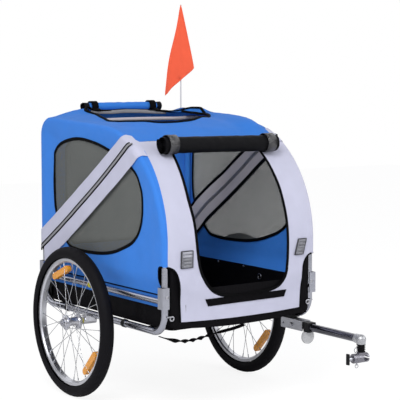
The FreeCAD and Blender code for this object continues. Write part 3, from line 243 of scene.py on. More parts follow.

# %% [markdown]
# Every finish is named for the real material. The cloths look satin and softly crumpled, the bindings dull
# and ribbed, the plastics finely pitted, the metals bright in streaks, and the reflectors sparkle. Some carry
# painted light: a painted glow on the blue cloth, the band's back and the amber reflectors, painted shade on
# the roof's blue, and a painted highlight on the near reflector's upper ribs.

# %% Make the finishes
# Painted light: the blue cloth glows a little in its own colour, as if lit from behind.
BLUE = cloth("blue_coated_polyester", "#3a82e0", painted_glow=0.035)
# Painted shade: the roof's blue is a darker copy of the side's blue cloth, and it also has a painted glow.
BLUE_ROOF_PAINTED_SHADE = cloth("blue_roof_polyester_painted_shade", "#317bd8", painted_glow=0.03)
WHITE = cloth("white_coated_polyester", "#c8c9de", crumple=0.001)
# Painted light: the band's back is a lighter copy of the white cloth with a painted glow, for light shining
# through the band.
BAND_BACK_PAINTED_LIGHT = cloth("grey_band_back_painted_light", "#d3ced3", crumple=0.001, painted_glow=0.09)
LINING = cloth("black_tub_polyester", "#0d0c0f", sheen=0.0, rough=0.5, shine=0.05)
ROLLED = cloth("black_rolled_mesh", "#101013", rough=0.5, sheen=0.0, shine=0.08)
STRAP_CLEAR = cloth("clear_vinyl_roll_strap", "#242428", sheen=0.0, rough=0.14, crumple=0.005, shine=0.9)
FLAG = cloth("orange_flag_nylon", "#ff6644", sheen=0.15, crumple=0.0008)
NETTING = netting("grey_window_netting", "#666967", 1)
BACK_NETTING = netting("grey_back_netting", "#666967", 0)
BINDING = webbing("black_edge_binding", "#0b0b0d")
TAPE_GREY = webbing("grey_reflective_tape", "#9a9aa0", rough=0.35, shine=0.2)
STRAP_BLACK = webbing("black_strap_webbing", "#0d0c0f")
TYRE = moulded("tyre_rubber", "#131216", rough=0.66, grain=0.0012, shine=0.1)
RUBBER = moulded("flex_joint_rubber", "#0f0e11", rough=0.6, shine=0.15)
BLACK_PLASTIC = moulded("black_moulded_plastic", "#101013", rough=0.42, shine=0.2)
PALE_PLASTIC = moulded("yellow_bushing_plastic", "#d6cc3c", rough=0.5)
POLE = moulded("white_fibre_rod", "#d9d9dc", rough=0.35)
BOARD = moulded("black_floor_board", "#0a0a0b", rough=0.8, grain=0.002, shine=0.02)
BAR = moulded("grey_roof_bar", "#b9b3b8", rough=0.4)
PATCH_EDGE = moulded("grey_reflector_edge", "#3b3b40", rough=0.4)
FRAME_TUBE = metal("silver_frame_tube", "#b2b4be", rough=0.2)
ALLOY = metal("alloy_rim", "#dcdde3", rough=0.28)
STEEL = metal("zinc_plated_steel", "#b9bac0", rough=0.28)
SPOKE = metal("stainless_spoke", "#c9cacd", rough=0.22)
PLATED = metal("plated_tow_arm", "#77777f", rough=0.16)
CAST = metal("cast_elbow", "#c3c4c8", rough=0.4, metallic=0.8)
CLAMP = metal("cast_clamp", "#8f8e96", rough=0.38, metallic=0.9)
# Painted light: the amber reflectors glow a little, though they are no lamps.
AMBER = lens("amber_prism_reflector", "#f9a51d", painted_glow=0.1)
CLEAR = lens("clear_prism_reflector", "#d4d5d8")
FROSTED = lens("frosted_front_reflector", "#8b8c95")
# Painted highlight: a lighter copy of the frosted finish, for the near reflector's upper ribs.
FROSTED_PAINTED_HIGHLIGHT = lens("frosted_front_reflector_painted_highlight", "#bcbdca")
print("finishes:", len(bpy.data.materials))

# %% [markdown]
# ## Finishes for the parts that the skeleton already has right
# Tubes, spokes, hubs, brackets and the hitch keep their exact shapes. They only change their finish.

# %% Finish the skeleton's own parts
def both(*names):
    return [f"{name}_{side}" for name in names for side in SIDES]


HARD = {
    FRAME_TUBE: both("rail", "mid_rail", "side_hoop") + ["hinge_channels", "cross_tubes"],
    ALLOY: both("rim", "hub") + ["axle_receivers"],
    SPOKE: both("spokes"),
    STEEL: both("axle") + ["hinge_rivets", "tub_eyes", "tow_bracket", "tow_bolt", "clamp_screw",
                           "hitch_rings", "clamp_pad"],
    PALE_PLASTIC: ["axle_bushings"],
    BLACK_PLASTIC: ["rail_clips", "tow_carrier", "arm_collar", "clamp_handle", "flag_socket"],
    PLATED: ["tow_arm"],
    CAST: ["arm_elbow"],
    CLAMP: ["clamp_barrel"],
    RUBBER: ["flex_joint"],
    CLEAR: ["disc_reflector"],
    AMBER: both("wheel_reflectors"),
    POLE: ["flag_pole"],
    BOARD: ["floor_board"],
}
for finish, names in HARD.items():
    for name in names:
        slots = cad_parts[name].data.materials
        slots.clear()
        slots.append(finish)
print("parts finished as they are:", sum(len(names) for names in HARD.values()))

# %% [markdown]
# ## The cover's line
# The cloth is stretched over two hoops. The left hoop is a little shorter than the right one, so that the
# two nest when they fold, and the cloth between them changes shape evenly from one side to the other.
# One function gives any point of the cover from two numbers: how far across it is, and how far along the
# hoop's line, in metres from the front hem. Panels are drawn flat in those two numbers and lifted into place.

# %% The cover's line
TUBE, CLOTH = 0.010, 0.0025
WRAP = TUBE + CLOTH
CURVE, CORNER = 0.362, 0.050
SLOPE = radians(2.5)
ROOF_HEIGHT, CROWN, HEM = 0.867, 0.020, 0.260
FAR_RISE, REAR_RISE = 0.019, 0.024
HALF = middle("side_hoop_left").x
EDGE = HALF + WRAP
front_right, front_left = [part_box(f"side_hoop_{side}")[0][1] + TUBE - axle_y for side in SIDES]
rear_right, rear_left = [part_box(f"side_hoop_{side}")[1][1] - TUBE - axle_y for side in SIDES]
FRONT_TURN, REAR_TURN = pi / 2 - SLOPE, pi / 2 + SLOPE


def within(value, low=0.0, high=1.0):
    return max(low, min(high, value))


def ease(value):
    """Goes smoothly from 0 to 1."""
    value = within(value)
    return value * value * (3 - 2 * value)


def hill(distance, width):
    """A smooth bump, 1 at the middle."""
    return exp(-(distance / width) ** 2)


def share(x):
    return (x + HALF) / (2 * HALF)


def fore(x):
    """Front upright line at a distance across, from the axle."""
    return front_right + (front_left - front_right) * share(x)


def aft(x):
    return rear_right + (rear_left - rear_right) * share(x)


def curve_foot(x):
    """Height where the front curve starts."""
    return ROOF_HEIGHT + (fore(x) - front_right) * tan(SLOPE) - CURVE * tan(FRONT_TURN / 2)


def corner_foot(x):
    """Height where the rear corner ends."""
    return ROOF_HEIGHT + (aft(x) - front_right) * tan(SLOPE) - CORNER * tan(REAR_TURN / 2)


def curve_end(front):
    """How far back the front curve reaches."""
    return front + CURVE - CURVE * cos(FRONT_TURN)


def corner_start(rear):
    return rear - CORNER + CORNER * cos(REAR_TURN)


UPRIGHT = curve_foot(-HALF) - HEM
CURVED = UPRIGHT + CURVE * FRONT_TURN
FLAT = CURVED + (corner_start(rear_right) - curve_end(front_right)) / cos(SLOPE)
CORNERED = FLAT + CORNER * REAR_TURN
print("cover line: upright", round(UPRIGHT, 3), "curve", round(CURVED, 3), "roof", round(FLAT, 3))

# %% [markdown]
# Now any point of the cover can be found. Between the hoops the roof bows up, and beyond them the cloth turns
# down round the tube. Three more functions go the other way, from a place to a distance along the line.

# %% A point of the cover
def crown(x, y):
    """How far the roof bows up between the hoops, with a rise at its far side and one at its rear corner."""
    if abs(x) >= HALF:
        return 0.0
    back = y - fore(x)
    arch = 1 - (x / HALF) ** 2
    far = FAR_RISE * ease((back - 0.12) / 0.16) * ease((x - 0.165) / 0.075) * ease((HALF - x) / 0.042)
    rear = REAR_RISE * hill(x + 0.225, 0.06) * hill(y - 0.235, 0.05) * arch
    return (CROWN * ease((back - 0.21) / 0.16) * arch + far + rear) * ease((aft(x) + TUBE - y) / 0.06)


def cover(x, along, lift=0.0):
    """A point of the cover's outer face."""
    past = within((abs(x) - HALF) / WRAP)
    off = WRAP * sqrt(1 - past * past) + lift
    front, rear = fore(x), aft(x)
    foot, low = curve_foot(x), corner_foot(x)
    if along <= UPRIGHT:
        y, z = front - off, HEM + along * (foot - HEM) / UPRIGHT
    elif along <= CURVED:
        angle = (along - UPRIGHT) / CURVE
        y = front + CURVE - (CURVE + off) * cos(angle)
        z = foot + (CURVE + off) * sin(angle)
    elif along <= FLAT:
        part = (along - CURVED) / (FLAT - CURVED)
        y0, z0 = curve_end(front), foot + CURVE * sin(FRONT_TURN)
        y1, z1 = corner_start(rear), low + CORNER * sin(REAR_TURN)
        y = y0 + (y1 - y0) * part - off * sin(SLOPE)
        z = z0 + (z1 - z0) * part + off * cos(SLOPE)
    elif along <= CORNERED:
        angle = REAR_TURN - (along - FLAT) / CORNER
        y = rear - CORNER + (CORNER + off) * cos(angle)
        z = low + (CORNER + off) * sin(angle)
    else:
        y, z = rear + off, low - (along - CORNERED)
    return Vector((x, y + axle_y, z + crown(x, y)))


def along_front(z):
    """Distance along the cover's line to a height on the front."""
    if z <= HEM + UPRIGHT:
        return z - HEM
    return UPRIGHT + CURVE * asin(min(1.0, (z - HEM - UPRIGHT) / CURVE))


def along_top(y):
    """Distance along the cover's line to a place behind the axle on the roof."""
    reach = (front_right + CURVE - y) / CURVE
    if reach > cos(FRONT_TURN):
        return UPRIGHT + CURVE * acos(reach)
    return CURVED + (y - front_right - CURVE + CURVE * cos(FRONT_TURN)) / cos(SLOPE)


def along_back(z):
    return CORNERED + corner_foot(-HALF) - z


print("roof's middle is at", [round(v, 3) for v in cover(0.0, (CURVED + FLAT) / 2)])

# %% [markdown]
# ## Cutting cloth
# A tailor cuts a panel flat, and so does this function. It takes outlines in the flat, fills them with
# points, joins the points into triangles with a Delaunay mesh that keeps the outlines as edges, throws away
# what lies outside the panel, and lifts the rest into place. It cuts the door, the hatch and the windows.

# %% Helpers for pieces
HINGE_HEIGHT = 0.386
FOLDED_SHARE = 0.33


def new_mesh(name, points, faces, finish, smooth=True):
    mesh = bpy.data.meshes.new(name)
    mesh.from_pydata([tuple(p) for p in points], [], faces)
    mesh.update()
    mesh.polygons.foreach_set("use_smooth", [smooth] * len(mesh.polygons))
    mesh.materials.append(finish)
    piece = bpy.data.objects.new(name, mesh)
    bpy.context.scene.collection.objects.link(piece)
    return piece


def new_piece(name, points, faces, finish, slot, body="chassis", folds=False, stands_for=(),
              sinks_to=HINGE_HEIGHT, keep=FOLDED_SHARE, smooth=True):
    """Makes a piece and ties it to the skeleton; one that folds gets a mesh of its own, and the parts it
    stands for are hidden.
    """
    piece = new_mesh(name, points, faces, finish, smooth)
    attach(piece, body)
    if folds:
        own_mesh(piece)
    if stands_for:
        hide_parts(*stands_for)
    return piece


def grid_faces(rows, width, round_rows=False, round_width=False):
    """Faces between rows of points; the grid can close on itself either way."""
    return [[i * width + k, i * width + (k + 1) % width,
             (i + 1) % rows * width + (k + 1) % width, (i + 1) % rows * width + k]
            for i in range(rows if round_rows else rows - 1)
            for k in range(width if round_width else width - 1)]


def evenly(first, last, count):
    """Values from first to last in equal steps."""
    return [first + (last - first) * k / count for k in range(count + 1)]


def circle(count):
    return [tau * k / count for k in range(count)]


def oval(width, thick, count=8):
    return [(width / 2 * cos(a), thick / 2 * sin(a)) for a in circle(count)]


def sweep(name, path, up, section, finish, slot, closed=False, **ties):
    """A strip or tube: a section of (sideways, upwards) pairs carried along a path; up is its upper side."""
    count, width = len(path), len(section)
    ups = [up] * count if isinstance(up, Vector) else up
    points = []
    for i, point in enumerate(path):
        ahead = path[(i + 1) % count] if closed or i < count - 1 else point
        behind = path[i - 1] if closed or i > 0 else point
        along = (ahead - behind).normalized()
        side = along.cross(ups[i]).normalized()
        top = side.cross(along)
        points += [point + side * a + top * b for a, b in section]
    faces = [[a, d, c, b] for a, b, c, d in grid_faces(count, width, closed, True)]
    if not closed:
        faces += [list(range(width)), list(range((count - 1) * width, count * width))[::-1]]
    return new_piece(name, points, faces, finish, slot, **ties)


def ripple(point, size, depth, seed=0.0):
    """Gentle unevenness of hanging cloth."""
    return depth * noise.noise(Vector(point) / size + Vector((seed, seed * 1.7, -seed)))


print("tools for pieces ready")

# %% [markdown]
# The cutting itself works on flat points. Curved outlines are drawn through a few measured points, then
# filled with points a step apart, so that the mesh is fine enough to bend.

# %% Helpers for flat lines
FINE, COARSE = 0.012, 0.014


def inside(point, outline):
    """True if a flat point lies inside a closed outline."""
    u, v = point
    found = False
    for (u0, v0), (u1, v1) in zip(outline, outline[1:] + outline[:1]):
        if (v0 > v) != (v1 > v) and u < (u1 - u0) * (v - v0) / (v1 - v0) + u0:
            found = not found
    return found


def spaced(outline, step=FINE, closed=True):
    """The same outline with points no further apart than a step."""
    ends = outline[1:] + outline[:1] if closed else outline[1:]
    points = []
    for (u0, v0), (u1, v1) in zip(outline, ends):
        count = max(1, ceil(hypot(u1 - u0, v1 - v0) / step))
        points += [(u0 + (u1 - u0) * k / count, v0 + (v1 - v0) * k / count) for k in range(count)]
    return points if closed else points + [outline[-1]]


def open_line(points, step=FINE):
    return spaced(points, step, closed=False)


def smooth_curve(points, steps, closed=False):
    """A curve through the points, open or closed."""
    whole = points[-1:] + points + points[:2] if closed else points[:1] + points + points[-1:]
    curve = []
    for four in zip(whole, whole[1:], whole[2:], whole[3:]):
        a, b, c, e = [Vector(p) for p in four]
        for k in range(steps):
            t = k / steps
            p = 0.5 * (2 * b + (c - a) * t + (2 * a - 5 * b + 4 * c - e) * t * t
                       + (3 * b - a - 3 * c + e) * t ** 3)
            curve.append(tuple(p))
    return curve if closed else curve + [tuple(points[-1])]


print("points on a panel lie", FINE, "or", COARSE, "apart")

# %% [markdown]
# Cutting joins the flat points into triangles. A panel is then lifted point by point and its flat size
# measured, and bindings are narrow tapes that follow a line of it.

# %% Helpers for cutting
LEAST_FILL, STRIP_MARGIN = 0.3, 1.02
TAPE_WIDE, TAPE_NARROW, TAPE_THICK, TAPE_RAISED = 0.0105, 0.006, 0.0028, 0.0006


def cut(outlines, step, keep=None, lines=()):
    """Flat points and triangles of a panel; keep says what belongs to it, lines are open seams."""
    def in_cloth(p):
        """The first outline is the cloth's edge, and the others are holes."""
        return inside(p, outlines[0]) and not any(inside(p, hole) for hole in outlines[1:])

    keep = keep or in_cloth
    points, edges = [], []
    for outline in list(outlines) + list(lines):
        first = len(points)
        points += [Vector(p) for p in outline]
        edges += [(first + i, first + i + 1) for i in range(len(outline) - 1)]
        if outline in outlines:
            edges.append((first + len(outline) - 1, first))

    def cell(p):
        return round(p.x / (step * 0.6)), round(p.y / (step * 0.6))

    taken = {cell(p) for p in points}
    low, high = [[pick(p[i] for p in points) for i in (0, 1)] for pick in (min, max)]
    for j in range(int((high[1] - low[1]) / step) + 1):
        for i in range(int((high[0] - low[0]) / step) + 1):
            p = Vector((low[0] + (i + 0.5 * (j % 2)) * step, low[1] + j * step))
            if cell(p) not in taken and keep(p):
                points.append(p)
    flat, _, faces, _, _, _ = delaunay_2d_cdt(points, edges, [], 0, 1e-6)
    return flat, [f for f in faces if keep(face_middle(flat, f))]


def face_middle(flat, face):
    return sum((flat[i] for i in face), Vector((0, 0))) / len(face)


def panel(name, cut_cloth, lift, finish, slot, flip=False, held="stretched", rests_on=(), declare=True,
          **ties):
    flat, faces = cut_cloth
    used = sorted({i for f in faces for i in f})
    number = {i: k for k, i in enumerate(used)}
    area = sum(abs((flat[b] - flat[a]).cross(flat[c] - flat[a])) / 2 for a, b, c in faces)
    width, length = [max(flat[i][k] for i in used) - min(flat[i][k] for i in used) for k in (0, 1)]
    if area < LEAST_FILL * width * length:  # a slanting strip: its own length and breadth
        length = hypot(width, length)
        width = area / length * STRIP_MARGIN
    faces = [[number[i] for i in (reversed(f) if flip else f)] for f in faces]
    piece = new_piece(name, [lift(*flat[i]) for i in used], faces, finish, slot, **ties)
    return piece


def outward(lift, u, v, flip=1):
    """The outward direction of a lifted panel."""
    here = lift(u, v)
    return flip * (lift(u + 0.002, v) - here).cross(lift(u, v + 0.002) - here).normalized()


def binding(name, outline, lift, width=TAPE_WIDE, thick=TAPE_THICK, closed=False, flip=1,
            raise_by=TAPE_RAISED, finish=BINDING, slot="webbing_black", folds=True):
    """A narrow tape along a line of a panel."""
    up = [outward(lift, *p, flip) for p in outline]
    path = [lift(*p) + n * raise_by for p, n in zip(outline, up)]
    return sweep(name, path, up, oval(width, thick), finish, slot, closed, folds=folds)


print("tools for cutting ready")

# %% [markdown]
# ## Front panel
# The white front is one sheet from the hem to the seam at the front end of the roof. It has the tall door
# opening, and its lower corners are cut away round the frame's uprights. The right side's blue cloth wraps
# a little way round its hoop, so the front is cut with that seam as an edge and the strip beyond it is blue.

# %% The front's outlines
DOOR = [(0.172, 0.806), (0.183, 0.70), (0.182, 0.60), (0.184, 0.50), (0.181, 0.45), (0.171, 0.412),
        (0.150, 0.387), (0.115, 0.3745), (0.06, 0.370), (0.0, 0.368), (-0.06, 0.371), (-0.105, 0.385),
        (-0.136, 0.410), (-0.157, 0.445), (-0.171, 0.49), (-0.181, 0.60), (-0.183, 0.70), (-0.172, 0.806)]
CUTOUT = [(0.241, 0.360), (0.2437, 0.400), (0.246, 0.430), (0.252, 0.452), (0.263, 0.467), (0.277, 0.4745),
          (0.290, 0.4775), (0.2995, 0.478)]
CUTOUT_FOOT = 0.2382
LOWER = 0.126
FRONT_ROOM = 0.005
SEAM, SEAM_OUT, SEAM_TURN = along_top(-0.285), along_top(-0.245), 0.262
STRIP_TOP, STRIP_END = [UPRIGHT + CURVE * radians(turn) for turn in (54, 50.1)]
HOOPS = both("side_hoop")


def hem_height(x):
    """The front's lower edge, which hangs lowest in the middle."""
    return 0.2995 + 0.11 * x * x


def corner_cut(s):
    """The rounded cut-out round an upright, from the hem up to the side."""
    start = (s * CUTOUT_FOOT, hem_height(s * CUTOUT_FOOT))
    points = smooth_curve([start] + [(s * x, z) for x, z in CUTOUT], 4)
    return [(x, along_front(z)) for x, z in points]


def front_lift(u, v):
    """The front's cloth in place: pushed out a little, with long upright folds."""
    still = ease((HALF - abs(u)) / 0.03)
    sag = 0.0012 * sin(min(1.0, v / SEAM) * pi) * (1 - (u / EDGE) ** 2)
    loose = (ripple((u, v, 0), 0.09, 0.003) + ripple((u, v * 0.2, 9), 0.022, 0.0014)) * still
    if v < LOWER + 0.05:
        loose = min(loose, 0.0) - 0.001 * still
    over = 0.0016 * ease((u - HALF) / 0.006)
    room = FRONT_ROOM * still * ease((v - 0.10) / 0.05) * ease((0.42 - v) / 0.08)
    return cover(u, v, over) + Vector((0, sag + loose - room, 0))


door_edge = smooth_curve([(x, along_front(z)) for x, z in DOOR], 6)
door = spaced(door_edge)
front_hem = [(x, along_front(hem_height(x))) for x in [-0.22 + 0.02 * k for k in range(23)]]
front_outline = spaced(
    corner_cut(1) + [(EDGE, SEAM_OUT), (HALF, SEAM_OUT), (SEAM_TURN, SEAM), (-SEAM_TURN, SEAM),
                     (-HALF, SEAM_OUT)] + [(max(x, -HALF), v) for x, v in corner_cut(-1)[::-1]] + front_hem)
corner_strip = spaced([(-0.284, 0.0), (-0.284, UPRIGHT), (-0.276, UPRIGHT + 0.2), (-0.268, STRIP_TOP),
                       (-HALF - 0.002, STRIP_END), (-HALF - 0.002, 0.0)])
print("points round the door:", len(door), "and round the front:", len(front_outline))

# %% [markdown]
# The front is cut once, with its seams as edges, and sorted into three sheets. What lies above the lower seam
# is the part that folds with the hoops on the real trailer, and it gets a mesh of its own.

# %% Front panel
cross_line = open_line([(-EDGE, LOWER), (EDGE, LOWER)])
round_line = open_line([(HALF, 0.2), (HALF, SEAM_OUT)])
round_lines = [round_line] + [[(EDGE - inset, v) for u, v in round_line] for inset in (0.0022, 0.006)]
flat, faces = cut([front_outline, door, corner_strip], FINE,
                  lambda p: inside(p, front_outline) and not inside(p, door), [cross_line] + round_lines)
upper, lower, strip = [], [], []
for face in faces:
    place = face_middle(flat, face)
    (strip if inside(place, corner_strip) else upper if place.y > LOWER else lower).append(face)
panel("front_upper_cloth", (flat, upper), front_lift, WHITE, "cloth_white", rests_on=HOOPS, folds=True,
      stands_for=["cover_front"])
panel("front_lower_cloth", (flat, lower), front_lift, WHITE, "cloth_white", rests_on=["lower_tub"])
panel("front_corner_strip", (flat, strip), front_lift, BLUE, "cloth_blue", rests_on=HOOPS[:1], folds=True)
print("front triangles:", len(upper), len(lower), len(strip))

# %% [markdown]
# Black tape binds the door and the corner cut-outs. Each tape is split at the height where the cloth starts
# to fold, since what lies lower stays with the tub.

# %% Door and corner bindings
LAP_DOWN, LAP_UP = 0.002, 0.004
for side, s in reversed(SIDES.items()):
    rim = [p for p in door_edge if p[1] > LOWER - LAP_DOWN and p[0] * s > 0]
    binding(f"door_binding_{side}", rim, front_lift)
sill = [p for p in door_edge if p[1] <= LOWER + LAP_UP]
binding("door_sill_binding", sill, front_lift, folds=False)
door_top = [(x, door_edge[0][1]) for x in evenly(DOOR[0][0], DOOR[-1][0], 24)]
binding("door_top_binding", door_top, front_lift)
for side, s in SIDES.items():
    edge = [p for p in corner_cut(s) if abs(p[0]) < HALF + 0.002]
    high_edge = [p for p in edge if p[1] > LOWER - FINE]
    low_edge = [p for p in edge if p[1] <= LOWER + LAP_UP]
    binding(f"corner_binding_{side}", high_edge, front_lift, TAPE_NARROW)
    binding(f"corner_binding_low_{side}", low_edge, front_lift, TAPE_NARROW, folds=False)
print("door edge points:", len(door_edge))

# %% [markdown]
# ## Side panels
# Each blue side is a flat panel inside its hoop, rolled over the tube at the edge. It has a large mesh
# window, cut-outs round the two uprights, and a hem that tucks in behind the upper rail. The cloth dips a
# few millimetres between hoop and window, which gives the soft highlight along its edges.

# %% The sides in the flat
WINDOW = [
    (0.500, 0.279), (0.486, 0.372), (0.399, 0.451), (0.219, 0.500), (0.046, 0.484), (-0.120, 0.426),
    (-0.387, 0.284), (-0.470, 0.148), (-0.500, -0.016), (-0.479, -0.189), (-0.405, -0.328), (-0.277, -0.418),
    (-0.136, -0.475), (0.021, -0.500), (0.230, -0.500), (0.348, -0.445), (0.493, -0.139),
]
WINDOW_WIDE, WINDOW_TALL = {"right": 0.566, "left": 0.600}, 0.366
WINDOW_PLACE = {"right": (-0.079, 0.662), "left": (-0.062, 0.662)}
SIDE_HEM, PIPING, TUCKED = 0.347, 0.3855, 0.2765
CUT_TOP, CUT_IN, CUT_ROUND = 0.478, 0.0155, 0.012
window_outline = {
    side: smooth_curve([(y + u * WINDOW_WIDE[side], z + v * WINDOW_TALL) for u, v in WINDOW], 5, closed=True)
    for side, (y, z) in WINDOW_PLACE.items()
}


def hoop_outline(s, grow, step=FINE):
    """The hoop's line on one side as flat points (y, z), grown by a distance."""
    x = s * HALF
    front, rear, foot, low = fore(x), aft(x), curve_foot(x), corner_foot(x)
    points = [(front - grow, SIDE_HEM), (front - grow, foot)]
    points += [(front + CURVE - (CURVE + grow) * cos(a), foot + (CURVE + grow) * sin(a))
               for a in [FRONT_TURN * k / 40 for k in range(1, 41)]]
    points += [(rear - CORNER + (CORNER + grow) * cos(a), low + (CORNER + grow) * sin(a))
               for a in [REAR_TURN * (1 - k / 12) for k in range(13)]]
    return open_line(points + [(rear + grow, SIDE_HEM)], step)


def beyond(s, y, z):
    """How far a flat point lies outside the hoop's line; negative inside."""
    x = s * HALF
    front, rear, foot, low = fore(x), aft(x), curve_foot(x), corner_foot(x)
    if z > foot and y < front + CURVE * (1 - cos(FRONT_TURN)):
        return hypot(y - front - CURVE, z - foot) - CURVE
    if z > low and y > corner_start(rear):
        return hypot(y - rear + CORNER, z - low) - CORNER
    top = ROOF_HEIGHT + (y - front_right) * tan(SLOPE)
    return max(front - y, y - rear, (z - top) * cos(SLOPE))


def upright_cut(s, y, z):
    """True in the cut-outs round the two uprights."""
    inset = min(y - fore(s * HALF), aft(s * HALF) - y)
    if z > CUT_TOP or inset > CUT_IN:
        return False
    u, v = inset - CUT_IN + CUT_ROUND, z - CUT_TOP + CUT_ROUND
    return u < 0 or v < 0 or u * u + v * v < CUT_ROUND ** 2


def post_cut(post, inwards):
    """Outline of one cut-out on the side, from the hoop's edge round to the hem."""
    points = [(post - inwards * WRAP, CUT_TOP)]
    for angle in [radians(90 - 15 * k) for k in range(7)]:
        points.append((post + inwards * (CUT_IN - CUT_ROUND + CUT_ROUND * cos(angle)),
                       CUT_TOP - CUT_ROUND + CUT_ROUND * sin(angle)))
    return open_line(points + [(post + inwards * CUT_IN, SIDE_HEM)])


def side_lift(s, extra=0.0):
    def lift(y, z):
        out = beyond(s, y, z)
        if out >= 0:
            x = HALF + sqrt(max(0.0, WRAP * WRAP - out * out))
        else:
            tuck = ease((0.445 - z) / 0.06)
            dip = 0.006 * ease((-out - 0.006) / 0.06)
            loose = ripple((y, z, s), 0.12, 0.005) * ease((-out - 0.01) / 0.05)
            loose += ripple((y, z, s + 3), 0.035, 0.0008)
            x = EDGE - (dip + loose) * (1 - tuck) - tuck * (EDGE - TUCKED)
        return Vector((s * (x + extra), y + axle_y, z))
    return lift


print("windows:", {side: (WINDOW_WIDE[side], WINDOW_TALL) for side in SIDES})

# %% [markdown]
# Both sides are cut by the same loop. Rings of points along the hoop let the cloth roll over the tube, and
# black tape binds the window, inside and out, and the cut-outs.

# %% Side panels
HOOP_RINGS = (WRAP, 0.0115, 0.008, 0.003, 0.0, -0.012)
FRONT_END, SEAM_WRAP = -0.2, 0.003  # the left side stops at the white front's seam
POST_TAPE_OUT, POST_TAPE_LOW, INNER_TAPE = 0.009, 0.39, -0.0034
PIPING_STEP, PIPING_WIDE, SLEEVE_FOOT, SLEEVE_WIDE = 0.02, 0.004, 0.476, 0.0236
for side, s in SIDES.items():
    window = window_outline[side]

    def keep(p):
        wrap = WRAP if s < 0 or p[0] > FRONT_END else SEAM_WRAP
        return (p[1] > SIDE_HEM and beyond(s, *p) < wrap and not inside(p, window)
                and not upright_cut(s, *p))

    posts = {"front": post_cut(fore(s * HALF), 1), "rear": post_cut(aft(s * HALF), -1)}
    hem_ends = [post[-1][0] for post in posts.values()]
    hem = open_line([(y, SIDE_HEM) for y in hem_ends])
    rings = [hoop_outline(s, grow) for grow in HOOP_RINGS]
    sheet = cut([window], COARSE, keep, [rings[0], hem] + rings[1:] + list(posts.values()))
    panel(f"side_cloth_{side}", sheet, side_lift(s), BLUE, "cloth_blue", flip=s < 0,
          rests_on=[f"side_hoop_{side}"], folds=True, stands_for=[f"cover_side_{side}"])
    lift = side_lift(s, TAPE_RAISED)
    binding(f"window_binding_{side}", window, lift, closed=True, flip=s)
    binding(f"window_inner_binding_{side}", window, lift, closed=True, flip=s, raise_by=INNER_TAPE)
    for end, line in posts.items():
        line = [p for p in line if beyond(s, *p) < POST_TAPE_OUT and p[1] > POST_TAPE_LOW]
        binding(f"{end}_post_binding_{side}", line, lift, TAPE_NARROW, flip=s)
    piping = open_line([(y, PIPING) for y in hem_ends], PIPING_STEP)
    binding(f"side_piping_{side}", piping, lift, PIPING_WIDE, flip=s)
    sleeve = [Vector((s * HALF, y + axle_y, z)) for y, z in hoop_outline(s, 0) if z > SLEEVE_FOOT]
    sweep(f"hoop_sleeve_{side}", sleeve, Vector((s, 0, 0)), oval(SLEEVE_WIDE, SLEEVE_WIDE, 12), BLUE,
          "cloth_blue", folds=True)
    print(side, "side triangles:", len(sheet[1]))

# %% [markdown]
# The netting is cut a little larger than its window, so that the binding holds its edge. It hollows slightly
# in the middle, as slack netting does.

# %% Window netting
NET_BEHIND, NET_LAP, NET_STEP = 0.0012, 0.02, 0.02


def net_lift(side, s):
    base = side_lift(s)

    def lift(y, z):
        middle_y, middle_z = WINDOW_PLACE[side]
        hollow = max(0.0, 1 - ((y - middle_y) / 0.31) ** 2 - ((z - middle_z) / 0.2) ** 2)
        sag = 0.006 * hollow + ripple((y, z, 7), 0.11, 0.003) * hollow
        return base(y, z) - Vector((s * (NET_BEHIND + sag), 0, 0))
    return lift


for side, s in SIDES.items():
    y, z = WINDOW_PLACE[side]
    edge = [(u + (u - y) * NET_LAP, v + (v - z) * NET_LAP) for u, v in window_outline[side]]
    panel(f"window_netting_{side}", cut([edge], NET_STEP), net_lift(side, s), NETTING,
          "mesh_grey", flip=s < 0, rests_on=[f"side_cloth_{side}"], folds=True,
          stands_for=[f"window_mesh_{side}"])
print("windows netted")

# %% [markdown]
# ## White bands
# A broad white band runs down each side from the front panel to the rear corner, with a grey reflective tape
# between two black lines along its middle. It lies on the side cloth and on the netting, pulled straight, and
# its top is wrapped over the hoop. A second strip behind the netting is what shows from inside.

# %% The bands' lines
BAND_UPPER = {
    "right": [(-0.300, 0.898), (-0.261, 0.873), (0.255, 0.544), (0.330, 0.496)],
    "left": [(-0.262, 0.904), (-0.072, 0.779), (0.034, 0.709), (0.098, 0.671), (0.258, 0.567),
             (0.330, 0.520)],
}
BAND_LOWER = {
    "right": [(-0.390, 0.836), (-0.314, 0.782), (0.102, 0.507), (0.200, 0.450), (0.330, 0.375)],
    "left": [(-0.370, 0.889), (-0.200, 0.766), (-0.108, 0.699), (-0.020, 0.638), (0.146, 0.529),
             (0.233, 0.457), (0.330, 0.378)],
}
TAPE = {
    "right": [(-0.330, 0.851), (-0.303, 0.8455), (-0.283, 0.836), (-0.259, 0.820), (-0.235, 0.803),
              (-0.080, 0.697), (0.087, 0.589), (0.256, 0.482), (0.300, 0.454)],
    "left": [(-0.310, 0.891), (-0.136, 0.773), (-0.064, 0.720), (0.007, 0.673), (0.122, 0.600),
             (0.245, 0.513), (0.300, 0.474)],
}
BAND_LAP, LAP_ABOVE, BAND_RAISED, BACK_GAP = 0.014, 0.7, 0.0028, 0.0042
NUDGE = 0.0001


